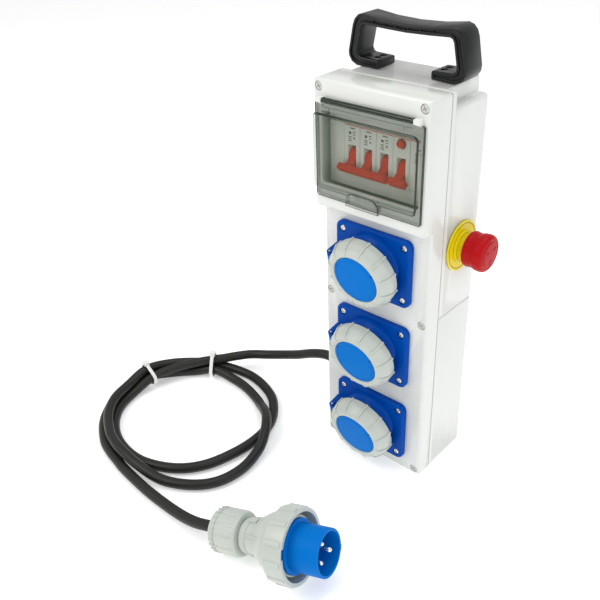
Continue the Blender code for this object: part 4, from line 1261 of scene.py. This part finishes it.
@dataclass
class Plug:
    """Round plug at the lead's end: nut, body, bayonet ring, sleeve and pins."""

    back: Point = (-32.5, -230.3, 19.7)
    yaw: float = math.radians(13.5)
    pitch: float = math.radians(12.5)
    key_turn: float = math.radians(60)
    bore: float = 5.8
    flutes: int = 12
    teeth: int = 24
    lugs: int = 4
    ring_ribs: int = 12
    pin_circle: float = 9.6
    pin_radii: tuple[float, ...] = (3, 2.5, 2.5)  # earth pin first
    place: Matrix = field(init=False)

    def __post_init__(self) -> None:
        """Work out the plug's frame from its heading."""
        forward = (math.cos(self.yaw) * math.cos(self.pitch), math.sin(self.yaw) * math.cos(self.pitch),
                   math.sin(self.pitch))
        self.place = axes(self.back, forward, (math.sin(self.yaw), -math.cos(self.yaw), 0))

    def build(self) -> list[bpy.types.Object]:
        """Make the plug's pieces.

        Returns:
            Their objects, for the lead to carry.
        """
        return [self.nut(), self.body(), self.ring(), self.sleeve(), *self.pins()]

    def nut(self) -> bpy.types.Object:
        """Gland nut with shallow flutes and a serrated rear collar."""
        nut = Workpiece.lathe("plug_nut", [
            (self.bore, 0), (17.4, 0, 1), (20.3, 3.6, 0.8), (20.5, 7.4), (19.4, 8.2, 0.3), (20.9, 9.6, 0.5),
            (21.3, 28.8, 1), (19.7, 31.5, 0.5), (14.5, 31.5), (14.5, 3.7), (self.bore, 3.7),
            (self.bore, 0)], 96)
        for k in range(self.flutes):
            flute = Workpiece.rod("flute", 2.6, 11, 34, 20, (22.9, 0))
            nut.cut(flute.turned(math.tau * k / self.flutes))
        for k in range(self.teeth):
            tooth = Workpiece.block("tooth", (19, -0.8, 3.2), (21.2, 0.8, 7.6))
            nut.join(tooth.turned(math.tau * k / self.teeth))
        nut.moved(self.place).finish(Finish.GREY, "casing", ["plug_gland_nut"], 35)
        return nut.obj

    def body(self) -> bpy.types.Object:
        """Flared body with a raised ridge and a lug on its neck."""
        body = Workpiece.lathe("plug_shell", [
            (self.bore, 4.1), (14.1, 4.1), (14.1, 33.3), (16, 34, 0.4), (16, 38), (17, 38.6, 0.3),
            (17, 40, 0.3), (16, 40.6), (16.1, 46.3, 3), (25.7, 61, 3), (26.6, 65), (26.6, 85.1), (0, 85.1),
            (0, 64.8), (self.bore, 64.8), (self.bore, 4.1)], 96)
        lug_line = [(15, 41), (17.4, 41), (17.8, 46), (25, 57.5), (25, 62), (15, 62)]
        for k in range(self.lugs):
            body.join(Workpiece.slab("lug", lug_line, 1.6).turned(math.tau * (k + 0.5) / self.lugs))
        tab = Workpiece.block("tab", (14, -3.2, 40), (18, 3.2, 47))
        body.join(tab.turned(self.key_turn + math.radians(200)))
        body.moved(self.place).finish(Finish.GREY, "casing", ["plug_body"], 35)
        return body.obj

    def ring(self) -> bpy.types.Object:
        """Bayonet ring with grip ribs and two angled slots in its front edge."""
        outer, front = 34, 90.6
        ring = Workpiece.lathe("plug_ring_shell", [
            (27.2, 70.3), (33, 70.3, 0.8), (outer, 72, 0.8), (outer + 0.4, front, 0.8), (30.5, front, 0.6),
            (30.5, 75.9), (27.2, 75.9), (27.2, 70.3)], 120)
        for k in range(2):
            spin = self.key_turn + math.pi * (k + 0.5)
            for low, high in (((29, -5, 84), (33.2, 4, 92)), ((29, -11, 81), (33.2, -2, 86))):
                ring.cut(Workpiece.block("slot", low, high).turned(spin))
        for k in range(self.ring_ribs):
            rib = Workpiece.block("rib", (33, -2.4, 72.6), (35.2, 2.4, 88.6))
            rib.pick_edges(lambda middle, along: middle.x > 35 and abs(along.y) < 0.5).bevel(0.9, 3)
            ring.join(rib.turned(math.tau * (k + 0.5) / self.ring_ribs))
        ring.moved(self.place).finish(Finish.GREY, "plug_ring", ["plug_bayonet_ring"], 35)
        return ring.obj

    def sleeve(self) -> bpy.types.Object:
        """Blue contact sleeve with a rounded mouth and its key."""
        sleeve = Workpiece.lathe("plug_sleeve_shell", [
            (0, 85.4), (25, 85.4), (25, 87.9, 0.4), (21.5, 88.4), (21.5, 118.4, 0.9), (18.9, 118.4, 0.6),
            (18.9, 89.7), (0, 89.7)], 96)
        key = Workpiece.block("key", (-2.8, 20.6, 88), (2.8, 23.4, 117.5))
        key.pick_edges(lambda middle, along: middle.y > 23 and abs(along.x) < 0.5).bevel(0.8, 3)
        sleeve.join(key.turned(self.key_turn))
        sleeve.moved(self.place).finish(Finish.CAP, "casing", ["plug_sleeve"], 35)
        return sleeve.obj

    def pins(self) -> list[bpy.types.Object]:
        """Blue contact carrier with three round-ended pins."""
        carrier = Workpiece.lathe("plug_carrier", [(0, 90), (13.9, 90), (13.9, 92, 0.6), (0, 92)])
        carrier.moved(self.place).finish(Finish.CAP, "casing")
        made = [carrier.obj]
        for k, radius in enumerate(self.pin_radii):
            angle = self.key_turn + math.radians(90 + 120 * k)
            pin = Workpiece.lathe(f"plug_pin_{k + 1}", [
                (0, 91), (radius, 91), (radius, 112.8), (radius * 0.7, 114.6, 1), (0, 115.5)], 40)
            spot = shift(self.pin_circle * math.cos(angle), self.pin_circle * math.sin(angle), 0)
            pin.moved(self.place @ spot)
            pin.finish(Finish.CHROME, "casing", ["plug_contact_pins"] if k == 0 else (), 50)
            made.append(pin.obj)
        return made


# ------------------------------------------------------------------ studio


@dataclass
class Studio:
    """Camera, pale floor, soft lamps and a white surround."""

    location: Point = (0.38206, -0.55129, 0.58217)
    heading: float = 43.01
    dip: float = 31.45
    roll: float = -2.28
    lens: float = 47.2

    def build(self) -> None:
        """Set up the whole studio."""
        self.camera()
        self.floor()
        self.lamp("key_softbox", (-0.75, -1.3, 1.7), 1.1, 14.0, (1.0, 0.975, 0.94))
        self.lamp("fill_softbox", (1.7, -0.5, 1.0), 1.0, 5.0, (0.91, 0.96, 1.0))
        self.lamp("top_softbox", (0.1, 0.3, 2.0), 1.2, 10.0, (1.0, 1.0, 1.0))
        world = bpy.data.worlds.new("surround")
        world.use_nodes = True
        background = world.node_tree.nodes["Background"]
        background.inputs["Color"].default_value = (1, 1, 1, 1)
        background.inputs["Strength"].default_value = 0.62
        bpy.context.scene.world = world
        bpy.context.scene.view_settings.view_transform = "Standard"

    def camera(self) -> None:
        """Camera at its heading, dip and roll."""
        data = bpy.data.cameras.new("camera")
        data.lens = self.lens
        data.sensor_width = 36
        camera = bpy.data.objects.new("camera", data)
        turn = (Matrix.Rotation(math.radians(self.heading), 4, "Z")
                @ Matrix.Rotation(math.radians(90 - self.dip), 4, "X")
                @ Matrix.Rotation(math.radians(self.roll), 4, "Z"))
        camera.matrix_world = Matrix.Translation(self.location) @ turn
        bpy.context.scene.collection.objects.link(camera)
        bpy.context.scene.camera = camera

    def floor(self) -> None:
        """Wide pale floor with a faint mottle."""
        deselect()
        bpy.ops.mesh.primitive_plane_add(size=12, location=(0, 0, -0.0005))
        floor = bpy.context.object
        floor.name = "studio_floor"
        shader = Shader("floor_paper")
        mottle = shader.noise(3.0, 2.0)
        shader.feed(shader.surface.inputs["Base Color"], shader.blend(mottle, (0.93,) * 3, (0.95,) * 3))
        shader.constants(Roughness=0.9, Emission_Color=(1, 1, 1, 1), Emission_Strength=0.32)
        floor.data.materials.append(shader.material)

    def lamp(self, name: str, place: Point, size: float, power: float, colour: Colour) -> None:
        """Square softbox that faces the box.

        Args:
            name: the lamp's name.
            place: where it stands.
            size: its side.
            power: its power in watts.
            colour: its tint.
        """
        data = bpy.data.lights.new(name, "AREA")
        data.size = size
        data.energy = power
        data.color = colour
        lamp = bpy.data.objects.new(name, data)
        aim = Vector((-0.05, -0.05, 0.15)) - Vector(place)
        lamp.matrix_world = Matrix.Translation(place) @ aim.to_track_quat("-Z", "Y").to_matrix().to_4x4()
        bpy.context.scene.collection.objects.link(lamp)


def main() -> None:
    """Build the studio, the lead and then the box."""
    logging.basicConfig(level=logging.INFO, format="%(name)s: %(message)s")
    Studio().build()
    lead = PowerLead()
    cord = lead.build()
    carried = lead.ties() + Plug().build()
    Casing().build()
    BreakerRow().build()
    BreakerWindow().build()
    for index in (1, 2, 3):
        Socket(index).build()
    StopButton().build()
    Gland().build()
    bpy.context.view_layer.update()


if __name__ == "__main__":
    main()
